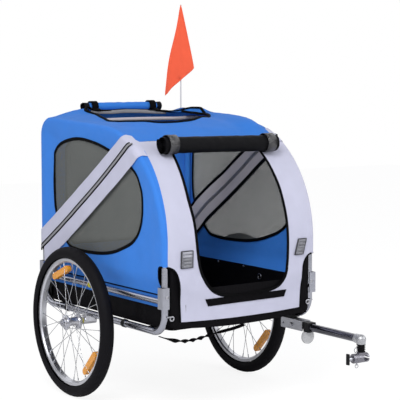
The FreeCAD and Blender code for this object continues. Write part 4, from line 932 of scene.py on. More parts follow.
def band_lift(s):
    base = side_lift(s)

    def lift(y, z):
        out = beyond(s, y, z)
        if out < 0:
            tuck = ease((0.43 - z) / 0.06)
            x = EDGE - 0.001 - 0.0035 * ease(-out / 0.15) - 0.008 * tuck + ripple((y, z, s + 9), 0.05, 0.0009)
            return Vector((s * (max(x, abs(base(y, z).x)) + BAND_RAISED), y + axle_y, z))
        away = Vector((0, beyond(s, y + NUDGE, z) - out, beyond(s, y, z + NUDGE) - out)) / NUDGE
        turned = min(1.0, out / WRAP)
        flat_share = sqrt(1 - turned * turned)
        over = max(0.0, out - WRAP)
        x = HALF + WRAP * flat_share - over + BAND_RAISED * flat_share
        return Vector((s * x, y + axle_y, z)) + away * (BAND_RAISED * turned - over)
    return lift


print("tape points:", {side: len(TAPE[side]) for side in SIDES})

# %% [markdown]
# Each band is cut from its two edges. Its back is a second sheet just inside the netting, and the tapes
# follow one line on both.

# %% White bands
BAND_RINGS, RING_STEP = (WRAP + BAND_LAP, WRAP, 0.0115, 0.0095, 0.006, 0.0), 0.008
BACK_INSET, BACK_TAPE_INSET, BACK_STEP, LINE_STEP = 0.012, 0.014, 0.01, 0.006
BACK_EDGE, BACK_TAPE, DARK_TAPE, GREY_TAPE = 0.0115, 0.012, 0.0185, 0.0085
for side, s in SIDES.items():
    outline = BAND_UPPER[side] + BAND_LOWER[side][::-1]
    lift, inner = band_lift(s), net_lift(side, s)
    tape_look = {"finish": TAPE_GREY, "slot": "strap_clear"}

    def keep(p):
        lap = BAND_LAP if p[1] > LAP_ABOVE else 0.0
        return inside(p, outline) and beyond(s, *p) < WRAP + lap and not upright_cut(s, *p)

    def back_of(y, z):
        return inner(y, z) - Vector((s * BACK_GAP, 0, 0))

    def part_of(line, step, limit):
        return [p for p in open_line(line, step) if beyond(s, *p) < limit]

    rings = [hoop_outline(s, grow, RING_STEP) for grow in BAND_RINGS]
    rings.append(post_cut(aft(s * HALF), -1))
    panel(f"white_band_{side}", cut([spaced(outline)], FINE, keep, rings), lift, WHITE, "cloth_white",
          flip=s < 0, rests_on=[f"side_cloth_{side}"], folds=True, stands_for=[f"side_band_{side}"])
    sheet = cut([spaced(outline)], COARSE, lambda p: inside(p, outline) and beyond(s, *p) < -BACK_INSET,
                [hoop_outline(s, -BACK_INSET)])
    # The band's back carries painted light: a lighter copy of the white cloth that glows.
    panel(f"band_back_{side}", sheet, back_of, BAND_BACK_PAINTED_LIGHT, "cloth_white", flip=s > 0,
          rests_on=[f"window_netting_{side}"], folds=True)
    for name, edge in (("upper", BAND_UPPER[side]), ("lower", BAND_LOWER[side])):
        line = part_of(edge, BACK_STEP, -BACK_TAPE_INSET)
        binding(f"band_back_{name}_{side}", line, back_of, BACK_EDGE, flip=-s, raise_by=0.0008)
    line = part_of(TAPE[side], BACK_STEP, -BACK_TAPE_INSET)
    binding(f"band_back_tape_{side}", line, back_of, BACK_TAPE, 0.0012, flip=-s, **tape_look)
    line = part_of(TAPE[side], LINE_STEP, WRAP)
    binding(f"band_tape_edge_{side}", line, lift, DARK_TAPE, 0.0012, flip=s, raise_by=0.0005)
    binding(f"band_tape_{side}", line, lift, GREY_TAPE, 0.0014, flip=s, raise_by=0.0009, **tape_look)
    print(side, "band back triangles:", len(sheet[1]))

# %% [markdown]
# ## Roof
# The roof bows up between the hoops and is open in a large hatch. The hatch's near corner is drawn up by a
# strap, and the cloth lies close on the two roof bars.

# %% Roof
HATCH = [(-0.150, 0.214), (-0.168, 0.15), (-0.190, 0.06), (-0.203, -0.03), (-0.200, -0.09), (-0.172, -0.136),
         (-0.10, -0.160), (-0.018, -0.166), (0.052, -0.140), (0.105, -0.102), (0.152, -0.062),
         (0.186, -0.030), (0.200, 0.0), (0.200, 0.05), (0.192, 0.13), (0.155, 0.214)]
BARS = {"front": -0.226, "rear": 0.160}
HATCH_CORNER = Vector((-0.158, along_top(0.205)))
CREASE_ENDS = [Vector((x, along_top(y))) for x, y in ((-0.262, 0.262), (-0.235, 0.330), (-0.150, 0.345))]


def pulled(u, v):
    """The hatch's near corner is drawn up by its strap, and creases run out from it."""
    here = Vector((u, v)) - HATCH_CORNER
    height = 0.007 * hill(here.length, 0.032)
    for end in CREASE_ENDS:
        way = end - HATCH_CORNER
        part = within(here.dot(way) / way.length_squared)
        height += 0.0035 * hill((here - way * part).length, 0.009) * (1 - part)
    return height


def top_lift(u, v):
    still = ease((HALF - abs(u)) / 0.05)
    sink = 0.004 * sin(pi * within((v - SEAM) / (FLAT - SEAM))) * still
    loose = (ripple((u, v, 2), 0.11, 0.006) + ripple((u, v, 5), 0.04, 0.0012)) * still - sink
    for bar in BARS.values():
        loose *= 1 - hill(v - along_top(bar), 0.035)
    return cover(u, v) + UP * (loose + pulled(u, v))


hatch = spaced(smooth_curve([(x, along_top(y)) for x, y in HATCH], 5, closed=True), COARSE)
roof_outline = spaced([(-HALF, SEAM_OUT), (-SEAM_TURN, SEAM), (SEAM_TURN, SEAM), (HALF, SEAM_OUT),
                       (HALF, FLAT), (-HALF, FLAT)], COARSE)
sheet = cut([roof_outline, hatch], COARSE)
panel("roof_cloth", sheet, top_lift, BLUE_ROOF_PAINTED_SHADE, "cloth_blue", rests_on=HOOPS, folds=True,
      stands_for=["cover_roof"])
binding("hatch_binding", hatch, top_lift, 0.012, 0.008, closed=True)
print("roof triangles:", len(sheet[1]))

# %% [markdown]
# ## Back
# The roof's rear edge rolls over the corner and hangs down as the back panel. It has a bound netting window,
# and it stands a little off the hoops, which leaves them room to fold.

# %% Back
BACK_IN, BACK_ROOM, SKEW_RUN = 0.2475, 0.004, 3.4
BACK_WINDOW = [(-0.195, 0.80), (-0.165, 0.835), (0.165, 0.835), (0.195, 0.80), (0.195, 0.50), (0.165, 0.465),
               (-0.165, 0.465), (-0.195, 0.50)]


def back_lift(u, v):
    still = ease((HALF - abs(u)) / 0.05) * ease((v - FLAT) / 0.08)
    loose = max(0.0, ripple((u, v, 4), 0.12, 0.006) + ripple((u, v, 6), 0.04, 0.001)) * still
    skew = (rear_right - rear_left) * min(share(u), SKEW_RUN * (1 - share(u)))
    room = (skew + BACK_ROOM) * ease((HALF - abs(u)) / 0.02) * ease((v - FLAT) / 0.05)
    return cover(u, v) + Vector((0, loose + room, 0))


notch, back_end = along_back(CUT_TOP), along_back(SIDE_HEM)
back_outline = spaced([(-HALF, FLAT), (HALF, FLAT), (HALF, notch), (BACK_IN, notch), (BACK_IN, back_end),
                       (-BACK_IN, back_end), (-BACK_IN, notch), (-HALF, notch)], COARSE)
back_window = spaced([(x, along_back(z)) for x, z in BACK_WINDOW], COARSE)
panel("back_netting", cut([back_window], 0.018), lambda u, v: back_lift(u, v) - Vector((0, 0.001, 0)),
      BACK_NETTING, "mesh_grey", rests_on=["back_cloth"], folds=True)
binding("back_window_binding", back_window, back_lift, closed=True)
sheet = cut([back_outline, back_window], 0.016)
panel("back_cloth", sheet, back_lift, BLUE, "cloth_blue", rests_on=HOOPS, folds=True,
      stands_for=["cover_back"])
print("back triangles:", len(sheet[1]))

# %% [markdown]
# ## Hatch flap
# The strip along the hatch's left edge is turned up. It is built as rows across the strip, each lifted into a
# low fold, with a black binding along the crest that is partly the real black edge and partly painted shade
# for the fold's shaded underside. A stiff tape runs under the hatch's rear edge.

# %% Hatch flap
FLAP_START, FLAP_END, FLAP_FLAT = 0.214, 0.045, (0.18, 0.068)
FLAP_PEAK, FLAP_TALL, FLAP_WIDE = 0.84, 0.014, 0.055
FLAP_ROWS, FLAP_ACROSS, FLAP_CREST = 32, 10, 2
flap_rows = []
for part in evenly(0, 1, FLAP_ROWS):
    y = FLAP_START + (FLAP_END - FLAP_START) * part
    x = 0.158 + 0.045 * ease(part / 0.55)
    tall = FLAP_TALL * (ease(part / FLAP_PEAK) if part < FLAP_PEAK else ease((1 - part) / (1 - FLAP_PEAK)))
    row = []
    for across in evenly(0, 1, FLAP_ACROSS):
        bulge = ease(across / 0.2) if across < 0.2 else ease((1 - across) / 0.8)
        row.append(top_lift(x + FLAP_WIDE * across, along_top(y)) + UP * (0.0012 + tall * bulge))
    flap_rows.append(row)
flap = new_piece("hatch_flap", [p for row in flap_rows for p in row],
                 grid_faces(FLAP_ROWS + 1, FLAP_ACROSS + 1), BLUE_ROOF_PAINTED_SHADE, "cloth_blue", folds=True)
# The crest's black binding is partly the real edge and partly painted shade for the flap's shaded underside.
sweep("flap_binding_and_painted_shade", [row[FLAP_CREST] for row in flap_rows], UP, oval(0.012, 0.008), BINDING,
      "webbing_black", folds=True)
rear_edge = [top_lift(x, along_top(0.216)) - UP * 0.004 for x in evenly(-0.145, 0.155, 20)]
sweep("hatch_rear_tape", rear_edge, UP, oval(0.003, 0.013), TAPE_GREY, "strap_clear", folds=True)

# %% [markdown]
# ## Rolled covers
# The door's mesh cover and the hatch's cloth cover are rolled up and held by straps. A roll is a spiral
# sheet, so its ends show the turns, and the straps draw it in.

# %% Rolled covers
DOOR_STRAP, HATCH_STRAP = 0.192, 0.118
ROLL_DROP = -0.013
DOOR_LEAN = (front_left - front_right) / (2 * HALF) + ROLL_DROP
ROLL_STEPS, TURN_STEPS, CORE = 48, 28, 0.16
BLACK_END = 0.018
DOOR_RADIUS, DOOR_TURNS, HATCH_RADIUS, HATCH_TURNS = 0.0296, 4, 0.0180, 3


def roll_length(node):
    low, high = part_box(node)
    return high[0] - low[0]


def spiral_roll(name, node, centre, radius, turns, finish, slot, slant, strap_at, seed):
    """A sheet wound round the X axis, drawn in where straps hold it; slant is its fall back and down."""
    length = roll_length(node)
    width = turns * TURN_STEPS + 1
    points = []
    for x in [-length / 2 + length * i / ROLL_STEPS for i in range(ROLL_STEPS + 1)]:
        pinch = sum(hill(x - p, 0.016) for p in (-strap_at, strap_at))
        flare = ease((abs(x) - length / 2 + 0.03) / 0.03)
        for k in range(width):
            angle = tau * k / TURN_STEPS + 0.6
            grow = k / (turns * TURN_STEPS)
            ends = flare * noise.noise((angle, seed, 0))
            size = (CORE + (1 - CORE) * grow) * radius * (1 - 0.07 * pinch + 0.03 * ends)
            around = (x, radius * cos(angle), radius * sin(angle))
            size += ripple(around, 0.02, 0.0016, seed) * grow
            shift = copysign(0.004 * noise.noise((k / 9, seed, 3)) * flare, x)
            points.append(centre + Vector((x + shift, slant[0] * x + size * cos(angle),
                                           slant[1] * x + size * sin(angle))))
    return new_piece(name, points, grid_faces(ROLL_STEPS + 1, width), finish, slot, folds=True,
                     stands_for=[node])


door_centre = middle("door_roll") + Vector((0, -0.0065, 0.0))
hatch_centre = middle("hatch_roll")
LEVEL, LEANING = (0.0, 0.0), (DOOR_LEAN, ROLL_DROP)
spiral_roll("rolled_door_cover", "door_roll", door_centre, DOOR_RADIUS, DOOR_TURNS, ROLLED,
            "roll_black", LEANING, DOOR_STRAP, 1.3)
roll = spiral_roll("rolled_hatch_cover", "hatch_roll", hatch_centre, HATCH_RADIUS, HATCH_TURNS, BLUE_ROOF_PAINTED_SHADE,
                   "cloth_blue", LEVEL, HATCH_STRAP, 4.1).data
roll.materials.append(ROLLED)  # its bound edges show as black ends
roll_middle = sum((v.co.x for v in roll.vertices), 0.0) / len(roll.vertices)
for face in roll.polygons:
    if abs(face.center.x - roll_middle) > roll_length("hatch_roll") / 2 - BLACK_END:
        face.material_index = 1
print("rolls:", [round(v, 3) for v in door_centre], [round(v, 3) for v in hatch_centre])

# %% [markdown]
# Clear straps hold the door's roll and black ones the hatch's. A strap is a closed loop, and the free end
# of a black one is a piece of its own.

# %% Straps round the rolls
DOOR_LOOP, HATCH_LOOP, TAIL_LOOP = 0.0303, 0.0186, 0.0192
DOOR_STRAP_WIDE, HATCH_STRAP_WIDE, TAIL_WIDE = 0.034, 0.026, 0.022
TAIL_TURNS, TAIL_DOWN = (2.6, 3.1, 3.5), ((0.024, 0.006), (0.030, 0.003), (0.038, 0.0022))


def strap_section(width, half=0.0007):
    return [(-width / 2, -half), (width / 2, -half), (width / 2, half), (-width / 2, half)]


def round_x(centre, radius, angle, across=0.0):
    """A point on a ring round the X axis."""
    return centre + Vector((across, radius * cos(angle), radius * sin(angle)))


def strap_round(name, centre, x, radius, width, slant, finish, slot, stands_for=()):
    """A strap's closed loop round a roll."""
    here = centre + Vector((x, slant[0] * x, slant[1] * x))
    path = [round_x(here, radius, a) for a in circle(32)]
    up = [(p - here).normalized() for p in path]
    sweep(name, path, up, strap_section(width), finish, slot, True, folds=True, stands_for=stands_for)


def strap_tail(name, centre, x, radius, width):
    """The free end of a strap, which leaves the roll low at the front and lies down on the roof."""
    path = [round_x(centre, radius, a, x) for a in TAIL_TURNS]
    up = [Vector((0, p.y - centre.y, p.z - centre.z)).normalized() for p in path]
    up += [UP] * len(TAIL_DOWN)
    for ahead, above in TAIL_DOWN:
        path.append(top_lift(x, along_top(centre.y - axle_y - ahead)) + UP * above)
    sweep(name, path, up, strap_section(width), STRAP_BLACK, "webbing_black", folds=True)


for side, s in SIDES.items():
    strap_round(f"door_roll_strap_{side}", door_centre, s * DOOR_STRAP, DOOR_LOOP, DOOR_STRAP_WIDE, LEANING,
                STRAP_CLEAR, "strap_clear", ["roll_straps"])
    strap_round(f"hatch_roll_strap_{side}", hatch_centre, s * HATCH_STRAP, HATCH_LOOP, HATCH_STRAP_WIDE,
                LEVEL, STRAP_BLACK, "webbing_black")
    strap_tail(f"hatch_strap_tail_{side}", hatch_centre, s * HATCH_STRAP, TAIL_LOOP, TAIL_WIDE)
print("straps at", DOOR_STRAP, "and", HATCH_STRAP, "from the middle")

# %% [markdown]
# ## Roof bars
# Two nearly straight bars keep the roof up. They follow the cover's line with most of its bow taken out.

# %% Roof bars
BAR_BOW, BAR_DROP = 0.3, {"front": 0.0, "rear": 0.006}
BAR_END, BAR_WIDE, BAR_STEPS, BAR_SUNK = 0.276, 0.012, 24, TUBE * 0.41 - WRAP
for end, bar in BARS.items():
    lift = BAR_SUNK - BAR_DROP[end]
    path = [cover(x, along_top(bar), lift) for x in evenly(-BAR_END, BAR_END, BAR_STEPS)]
    for k, p in enumerate(path[1:-1], 1):
        level = path[0].z + (path[-1].z - path[0].z) * k / BAR_STEPS
        p.z = level + BAR_BOW * (p.z - level)
    sweep(f"roof_bar_{end}", path, UP, oval(BAR_WIDE, BAR_WIDE, 12), BAR, "bar_grey", folds=True,
          stands_for=["roof_bars"] if end == "front" else ())
print("bars at", BARS)

# %% [markdown]
# ## Front reflectors
# On the front there are two clear ribbed reflectors. Each is a low bevelled plate with a frame and five ribs.
# On the near reflector the upper two ribs take a lighter copy of the finish, a painted highlight.

# %% Front reflectors
PATCHES = {"right": (-0.2172, 0.4715, 0.5225, 0.043, 0.02), "left": (0.2351, 0.478, 0.5274, 0.033, 0.288)}
PATCH_THICK, PATCH_LIP, RIBS, RIB_INSET = 0.0055, 0.003, 5, 0.004
PATCH_LEVELS = [(0.0, 0.0), (0.0, PATCH_THICK * 0.6), (PATCH_LIP, PATCH_THICK),
                (PATCH_LIP * 2.2, PATCH_THICK * 0.9)]
for side, (x, low_z, high_z, width, slant) in PATCHES.items():
    middle_z = (low_z + high_z) / 2

    def corners(inset):
        x0, x1 = x - width / 2 + inset, x + width / 2 - inset
        square = ((x0, low_z + inset), (x1, low_z + inset), (x1, high_z - inset), (x0, high_z - inset))
        return [(u + slant * (v - middle_z), v) for u, v in square]

    points = [cover(u, along_front(v), lift + FRONT_ROOM)
              for inset, lift in PATCH_LEVELS for u, v in corners(inset)]
    faces = grid_faces(len(PATCH_LEVELS), 4, round_width=True) + [[len(points) - 4 + k for k in range(4)]]
    new_piece(f"front_patch_{side}", points, faces, FROSTED, "reflector_clear", folds=True,
              stands_for=["front_reflectors"], smooth=False)
    frame_line = [(u, along_front(v)) for u, v in spaced(corners(0), 0.006)]
    binding(f"patch_frame_{side}", frame_line, cover, 0.0035, 0.006, closed=True, raise_by=FRONT_ROOM + 0.002,
            finish=PATCH_EDGE, slot="reflector_clear")
    # The near reflector's upper two ribs take the lighter copy of the finish, as a painted highlight.
    for k in range(RIBS):
        z = low_z + (high_z - low_z) * (k + 0.5) / RIBS
        start_x = x + slant * (z - middle_z) - width / 2 + RIB_INSET
        rib = [(u, along_front(z)) for u in evenly(start_x, start_x + width - 2 * RIB_INSET, 4)]
        binding(f"patch_rib_{side}_{k}", rib, lambda u, v: cover(u, v, FRONT_ROOM + 0.005), 0.0085, 0.003,
                finish=FROSTED_PAINTED_HIGHLIGHT if side == "right" and k > 2 else FROSTED, slot="reflector_clear")
print("reflectors:", len(PATCHES))

# %% [markdown]
# ## Hook tape
# A strip of hook tape lies on the front's lower cloth, under the door, ready to hold the closed cover.

# %% Hook tape
HOOK = [(-0.145, 0.3674), (-0.134, 0.3443), (0.171, 0.3467), (0.180, 0.3686)]
hook = spaced([(x, along_front(z)) for x, z in HOOK])
panel("hook_tape", cut([hook], FINE), lambda u, v: front_lift(u, v) - Vector((0, 0.0016, 0)), STRAP_BLACK,
      "webbing_black", held="laid", rests_on=["front_lower_cloth"], stands_for=["hook_strip"])
print("hook tape from", HOOK[0][0], "to", HOOK[-1][0])

# %% [markdown]
# ## Black tub
# The tub is heavy black cloth laced to the rails. Its walls hang with shallow folds, it has rounded corners,
# and its front carries on down as a skirt. Its upper edge, which goes down with the hoops on the real
# trailer, is a piece of its own.

# %% Black tub
TUB_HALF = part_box("lower_tub")[1][0] - 0.001
TUB_OUT, TUB_CORNER, TUB_ROWS, EDGE_ROWS = TUBE + 0.0012, 0.022, 10, 4
TUB_FOOT, TUB_TOP, LINING_TOP = 0.2818, 0.366, 0.402
SKIRT_FOOT, SKIRT_RISE = 0.2752, 0.19
FLOOR_RIM, FLOOR_MIDDLE, FLOOR_SHARE = 0.2824, 0.2822, 0.995


def tub_loop():
    """The wall's line in plan, corner by corner, from the right front."""
    corners = [Vector((x, line(x) + sign * TUB_OUT)) for x, line, sign in
               ((-TUB_HALF, fore, -1), (TUB_HALF, fore, -1), (TUB_HALF, aft, 1), (-TUB_HALF, aft, 1))]
    points = []
    for i, here in enumerate(corners):
        back = (corners[i - 1] - here).normalized()
        ahead = (corners[(i + 1) % 4] - here).normalized()
        centre = here + (back + ahead) * TUB_CORNER
        for turn in [radians(22.5 * k) for k in range(5)]:
            points.append(centre - ahead * TUB_CORNER * cos(turn) - back * TUB_CORNER * sin(turn))
    return spaced([tuple(p) for p in points], COARSE)


def wall_point(x, y, z, fold=0.0):
    """A point of the tub's wall, moved inwards by a fold."""
    if abs(x) > TUB_HALF - 0.003:
        return Vector((x - copysign(fold, x), y + axle_y, z))
    return Vector((x, y + axle_y - copysign(fold, y), z))


loop = tub_loop()
count = len(loop)
tub_points = []
for part in [row / (TUB_ROWS - 1) for row in range(TUB_ROWS)]:
    for x, y in loop:
        foot = SKIRT_FOOT + SKIRT_RISE * x * x if y < -0.40 and abs(x) < 0.25 else TUB_FOOT
        z = foot + (TUB_TOP - foot) * part
        fold = max(0.0, ripple((x, y, z * 0.35), 0.05, 0.006)) * sin(pi * part)
        tub_points.append(wall_point(x, y, z, fold))
floor_start = len(tub_points)
tub_points += [Vector((x * FLOOR_SHARE, y + axle_y, FLOOR_RIM)) for x, y in loop]
tub_points.append(Vector((0, axle_y - 0.1, FLOOR_MIDDLE)))
tub_faces = grid_faces(TUB_ROWS, count, round_width=True)
tub_faces += [[floor_start + k, floor_start + (k + 1) % count, floor_start + count] for k in range(count)]
new_piece("tub_cloth", tub_points, tub_faces, LINING, "tub_black", stands_for=["lower_tub"])
edge = [wall_point(x, y, z) for z in evenly(TUB_TOP, LINING_TOP, EDGE_ROWS - 1) for x, y in loop]
new_piece("tub_upper_edge", edge, grid_faces(EDGE_ROWS, count, round_width=True), LINING, "tub_black",
          folds=True, stands_for=["upper_lining"], sinks_to=TUB_TOP, keep=0.05)
print("tub points:", len(tub_points))

# %% [markdown]
# Inside the tub there are press studs and a tether ring on each wall. Soft black linings close the corners
# behind the uprights; each is split where the fold starts.

# %% Studs, rings and corner linings
STUD_PROFILE = [(1.0, 0.0), (1.08, 0.0006), (1.0, 0.0014), (0.62, 0.0022), (0.0, 0.0026)]
STUD_RADIUS, STUD_STEPS = 0.0042, 12
STUDS = [(0.0364, 0.3955), (-0.1136, 0.3955)]
RING_Y, RING_Z, RING_RADIUS, RING_WIRE, RING_OFF = -0.211, 0.3723, 0.009, 0.0028, 0.003
LINING_WIDE, LINING_ROWS = 0.055, 5
LINING_LEVELS = {"corner_skirt": (0.292, TUB_TOP), "corner_lining": (TUB_TOP, 0.484)}
for side, s in SIDES.items():
    wall = s * (TUB_HALF - 0.0045)
    for i, (y, z) in enumerate(STUDS):
        points = [round_x(Vector((wall, y + axle_y, z)), STUD_RADIUS * r, a, -s * h)
                  for r, h in STUD_PROFILE for a in circle(STUD_STEPS)]
        new_piece(f"tub_stud_{i + 1}_{side}", points,
                  grid_faces(len(STUD_PROFILE), STUD_STEPS, round_width=True), STEEL, "zinc_steel")
    ring_centre = Vector((wall - s * RING_OFF, RING_Y + axle_y, RING_Z))
    ring = [round_x(ring_centre, RING_RADIUS, a) for a in circle(24)]
    sweep(f"tether_ring_{side}", ring, Vector((s, 0, 0)), oval(RING_WIRE, RING_WIRE), STEEL, "zinc_steel",
          True)
for side, s in SIDES.items():
    for end, line, sign in (("front", fore, 1), ("rear", aft, -1)):
        base = Vector((s * TUB_HALF, line(s * TUB_HALF) - sign * TUB_OUT + axle_y, 0))
        walk = [base + Vector((-s * LINING_WIDE * (1 - k / 6), 0, 0)) for k in range(7)]
        walk += [base + Vector((0, sign * LINING_WIDE * k / 6, 0)) for k in range(1, 7)]
        for name, levels in LINING_LEVELS.items():
            points = [Vector((p.x, p.y, z)) for z in evenly(*levels, LINING_ROWS - 1) for p in walk]
            new_piece(f"{name}_{end}_{side}", points, grid_faces(LINING_ROWS, len(walk)), LINING, "tub_black",
                      folds=name == "corner_lining", sinks_to=TUB_TOP, keep=0.03)
print("linings hung")

# %% [markdown]
# ## Rail clips
# A pale yellow plastic clip snaps round each upper rail. It is a flat strip bent round the tube, open inside.

# %% Rail clips
RAIL_HEIGHT, RAIL_RADIUS = 0.369, 0.0095
CLIP_AT, CLIP_TURN, CLIP_WIDE, CLIP_THICK = -0.029, 150, 0.018, 0.0022
for side, s in SIDES.items():
    rail = Vector((s * HALF, CLIP_AT + axle_y, RAIL_HEIGHT))
    turns = [radians(turn) for turn in evenly(-CLIP_TURN, CLIP_TURN, 20)]
    up = [Vector((s * cos(a), 0, sin(a))) for a in turns]
    path = [rail + u * (RAIL_RADIUS + CLIP_THICK / 2) for u in up]
    sweep(f"rail_clip_yellow_{side}", path, up, oval(CLIP_WIDE, CLIP_THICK), PALE_PLASTIC, "bushing_yellow")
print("clips on the upper rails")

# %% [markdown]
# ## Tyres
# The skeleton's tyre is a plain ring. This one has a flat crown with shallow tread blocks, and bead lines.

# %% Tyres
TYRE_STEPS, TYRE_ACROSS, TYRE_TURN = 192, 33, 128
TREAD_TURN, BEAD_TURN, BEAD_HALF = [radians(turn) for turn in (46, 72, 5)]
TREAD_DEEP, BEAD_DEEP = 0.0011, 0.0006
for side in SIDES:
    centre = middle(f"tyre_{side}")
    low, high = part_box(f"tyre_{side}")
    section = (high[0] - low[0]) / 2
    ring = (high[2] - low[2]) / 2 - section
    points = []
    for i, turn in enumerate(circle(TYRE_STEPS)):
        for k, angle in enumerate(evenly(-TYRE_TURN, TYRE_TURN, TYRE_ACROSS - 1)):
            angle = radians(angle)
            size = section
            if abs(angle) < TREAD_TURN and not ((i + k // 3) % 4 < 3 and k % 6 != 4):
                size -= TREAD_DEEP
            if 0.0 < abs(abs(angle) - BEAD_TURN) < BEAD_HALF:
                size -= BEAD_DEEP
            out = ring + size * cos(angle)
            points.append(round_x(centre, out, turn, size * sin(angle)))
    new_piece(f"treaded_tyre_{side}", points, grid_faces(TYRE_STEPS, TYRE_ACROSS, round_rows=True), TYRE,
              "tyre_black", body=f"wheel_{side}", stands_for=[f"tyre_{side}"])
print("tyres treaded")

# %% [markdown]
# ## Pennant
# The flag is light nylon with a hem. It hangs from the pole and bows a little in the air.

# %% Pennant
flag_low, flag_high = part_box("flag")
flag_y = middle("flag").y
pole_x = middle("flag_pole").x
FLAG_DROP, WAVE_DEEP, WAVE_GROWS = 0.226, 0.008, 0.04
FLAG_POINTS = [(pole_x - 0.003, flag_high[2]), (flag_high[0], flag_high[2] - FLAG_DROP),
               (flag_low[0], flag_low[2])]
flag_outline = spaced(FLAG_POINTS)


def flag_lift(x, z):
    away = x - pole_x
    wave = WAVE_DEEP * sin(away * 46 + z * 9) * min(1.0, abs(away) / WAVE_GROWS)
    return Vector((x, flag_y - 0.0008 + wave, z))


flag = panel("pennant_cloth", cut([flag_outline], FINE), flag_lift, FLAG, "flag_orange", declare=False,
             body="flag_staff", stands_for=["flag"])
hem = sweep("pennant_hem", [flag_lift(*p) for p in flag_outline], Vector((0, -1, 0)), oval(0.006, 0.0012),
            FLAG, "flag_orange", True, body="flag_staff")

# %% [markdown]
# ## Safety strap
# A strap of black webbing hangs under the front, from the right rail to the skirt. Its line is a smooth
# spline with the route's points as control points, and the flat webbing twists as it follows that line.

# %% Safety strap
STRAP_ROUTE = [(-0.285, -0.438, 0.2596), (-0.245, -0.438, 0.2439), (-0.195, -0.438, 0.2339),
               (-0.145, -0.438, 0.2359), (-0.095, -0.440, 0.2459), (-0.055, -0.446, 0.2535),
               (-0.014, -0.459, 0.2615), (0.014, -0.4670, 0.2715)]
STRAP_TWISTS, TWISTED_BY, WEBBING_WIDE, WEBBING_THICK = 2.6, 0.75, 0.013, 0.0034
route = bpy.data.curves.new("strap_route", "CURVE")
route.dimensions = "3D"
route.resolution_u = 12
spline = route.splines.new("NURBS")
spline.points.add(len(STRAP_ROUTE) - 1)
for point, (x, y, z) in zip(spline.points, STRAP_ROUTE):
    point.co = (x, y + axle_y, z, 1)
spline.order_u = 3
spline.use_endpoint_u = True
guide = bpy.data.objects.new("strap_guide", route)
bpy.context.scene.collection.objects.link(guide)
strap_line = [v.co.copy() for v in bpy.data.meshes.new_from_object(guide).vertices]
bpy.data.objects.remove(guide)
twist = [tau * STRAP_TWISTS * ease(i / len(strap_line) / TWISTED_BY) for i in range(len(strap_line))]
strap_up = [Vector((0, -sin(turn), cos(turn))) for turn in twist]
safety = sweep("hanging_safety_strap", strap_line, strap_up, oval(WEBBING_WIDE, WEBBING_THICK),
               STRAP_BLACK, "webbing_black", stands_for=["safety_strap"])
strap_length = sum((b - a).length for a, b in zip(strap_line, strap_line[1:]))
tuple(strap_line[0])
print("strap length:", round(strap_length, 3))

# %% [markdown]
# ## Studio
# The floor is wide and pale. Rays from the camera see it almost white, so that it runs into the white
# background, but a share of the real floor is mixed in, which keeps a faint shadow.

# %% Studio floor
FLOOR_HALF, FLOOR_WHITE, FLOOR_GLOW = 8.0, 0.80, 1.1
PURE_WHITE = (1, 1, 1, 1)


def blank_nodes(holder):
    holder.use_nodes = True
    holder.node_tree.nodes.clear()
    return holder.node_tree


pale = bpy.data.materials.new("pale_floor")
tree = blank_nodes(pale)
rays = add(tree, "ShaderNodeLightPath").outputs
matt = add(tree, "ShaderNodeBsdfDiffuse", {"Color": linear("#f4f4f6")}).outputs[0]
white = add(tree, "ShaderNodeEmission", {"Color": PURE_WHITE, "Strength": FLOOR_GLOW}).outputs[0]
part = add(tree, "ShaderNodeMath", {0: rays["Is Camera Ray"], 1: FLOOR_WHITE}, operation="MULTIPLY")
mix = add(tree, "ShaderNodeMixShader", {0: part.outputs[0], 1: matt, 2: white})
add(tree, "ShaderNodeOutputMaterial", {0: mix.outputs[0]})
floor_corners = [(x * FLOOR_HALF, y * FLOOR_HALF, 0) for x, y in ((-1, -1), (1, -1), (1, 1), (-1, 1))]
new_mesh("studio_floor", floor_corners, [[0, 1, 2, 3]], pale)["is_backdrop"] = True
print("floor is", 2 * FLOOR_HALF, "wide")

# %% [markdown]
# The sky has three faces: soft light for dull surfaces, bands for shiny metal to mirror, and plain white
# behind the trailer.

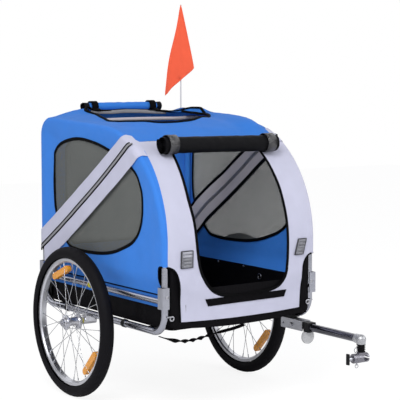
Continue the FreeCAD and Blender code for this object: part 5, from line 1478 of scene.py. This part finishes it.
# %% Sky
SKY_BANDS = [(0.0, 0.10), (0.18, 0.14), (0.32, 1.15), (0.60, 1.15), (0.78, 0.35)]
world = bpy.data.worlds.new("studio")
bpy.context.scene.world = world
sky = blank_nodes(world)
rays = add(sky, "ShaderNodeLightPath").outputs
straight = add(sky, "ShaderNodeMath", {0: rays["Is Camera Ray"], 1: rays["Is Transmission Ray"]},
               operation="MAXIMUM").outputs[0]
towards = add(sky, "ShaderNodeTexCoord").outputs["Generated"]
height = add(sky, "ShaderNodeSeparateXYZ", {0: towards}).outputs[2]
bands = add(sky, "ShaderNodeValToRGB", {0: height})
for k, (place, grey) in enumerate(SKY_BANDS):
    stop = bands.color_ramp.elements[k] if k < 2 else bands.color_ramp.elements.new(place)
    stop.position = place
    stop.color = (grey, grey, grey * 1.02, 1)
soft, white, banded = [
    add(sky, "ShaderNodeBackground", {"Color": color, "Strength": strength}).outputs[0]
    for color, strength in ((PURE_WHITE, 0.55), (PURE_WHITE, 1.0), (bands.outputs[0], 1.0))]
mirrored = add(sky, "ShaderNodeMixShader", {0: rays["Is Glossy Ray"], 1: soft, 2: banded}).outputs[0]
mix = add(sky, "ShaderNodeMixShader", {0: straight, 1: mirrored, 2: white}).outputs[0]
add(sky, "ShaderNodeOutputWorld", {0: mix})
print("sky bands:", len(SKY_BANDS))

# %% [markdown]
# One large lamp above the camera's left gives shape, and a weaker one on its right fills the shadows.

# %% Lamps
def lamp(name, place, size, watts, target=(0, 0, 0.5)):
    light = bpy.data.lights.new(name, "AREA")
    light.shape = "DISK"
    light.size = size
    light.energy = watts
    holder = bpy.data.objects.new(name, light)
    holder.location = place
    holder.rotation_euler = (Vector(target) - Vector(place)).to_track_quat("-Z", "Y").to_euler()
    bpy.context.scene.collection.objects.link(holder)


lamp("key_lamp", (-2.6, -2.4, 3.4), 2.2, 120)
lamp("fill_lamp", (2.8, -2.8, 1.8), 2.6, 40)
bpy.context.scene.view_settings.view_transform = "Standard"
print("lamps:", len(bpy.data.lights))

# %% [markdown]
# ## Measure
# The dressed trailer should fill the same box as its skeleton. The dressed box is printed.

# %% Measure and finish
low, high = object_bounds()
print("dressed box:", [round(v, 3) for v in low], [round(v, 3) for v in high])
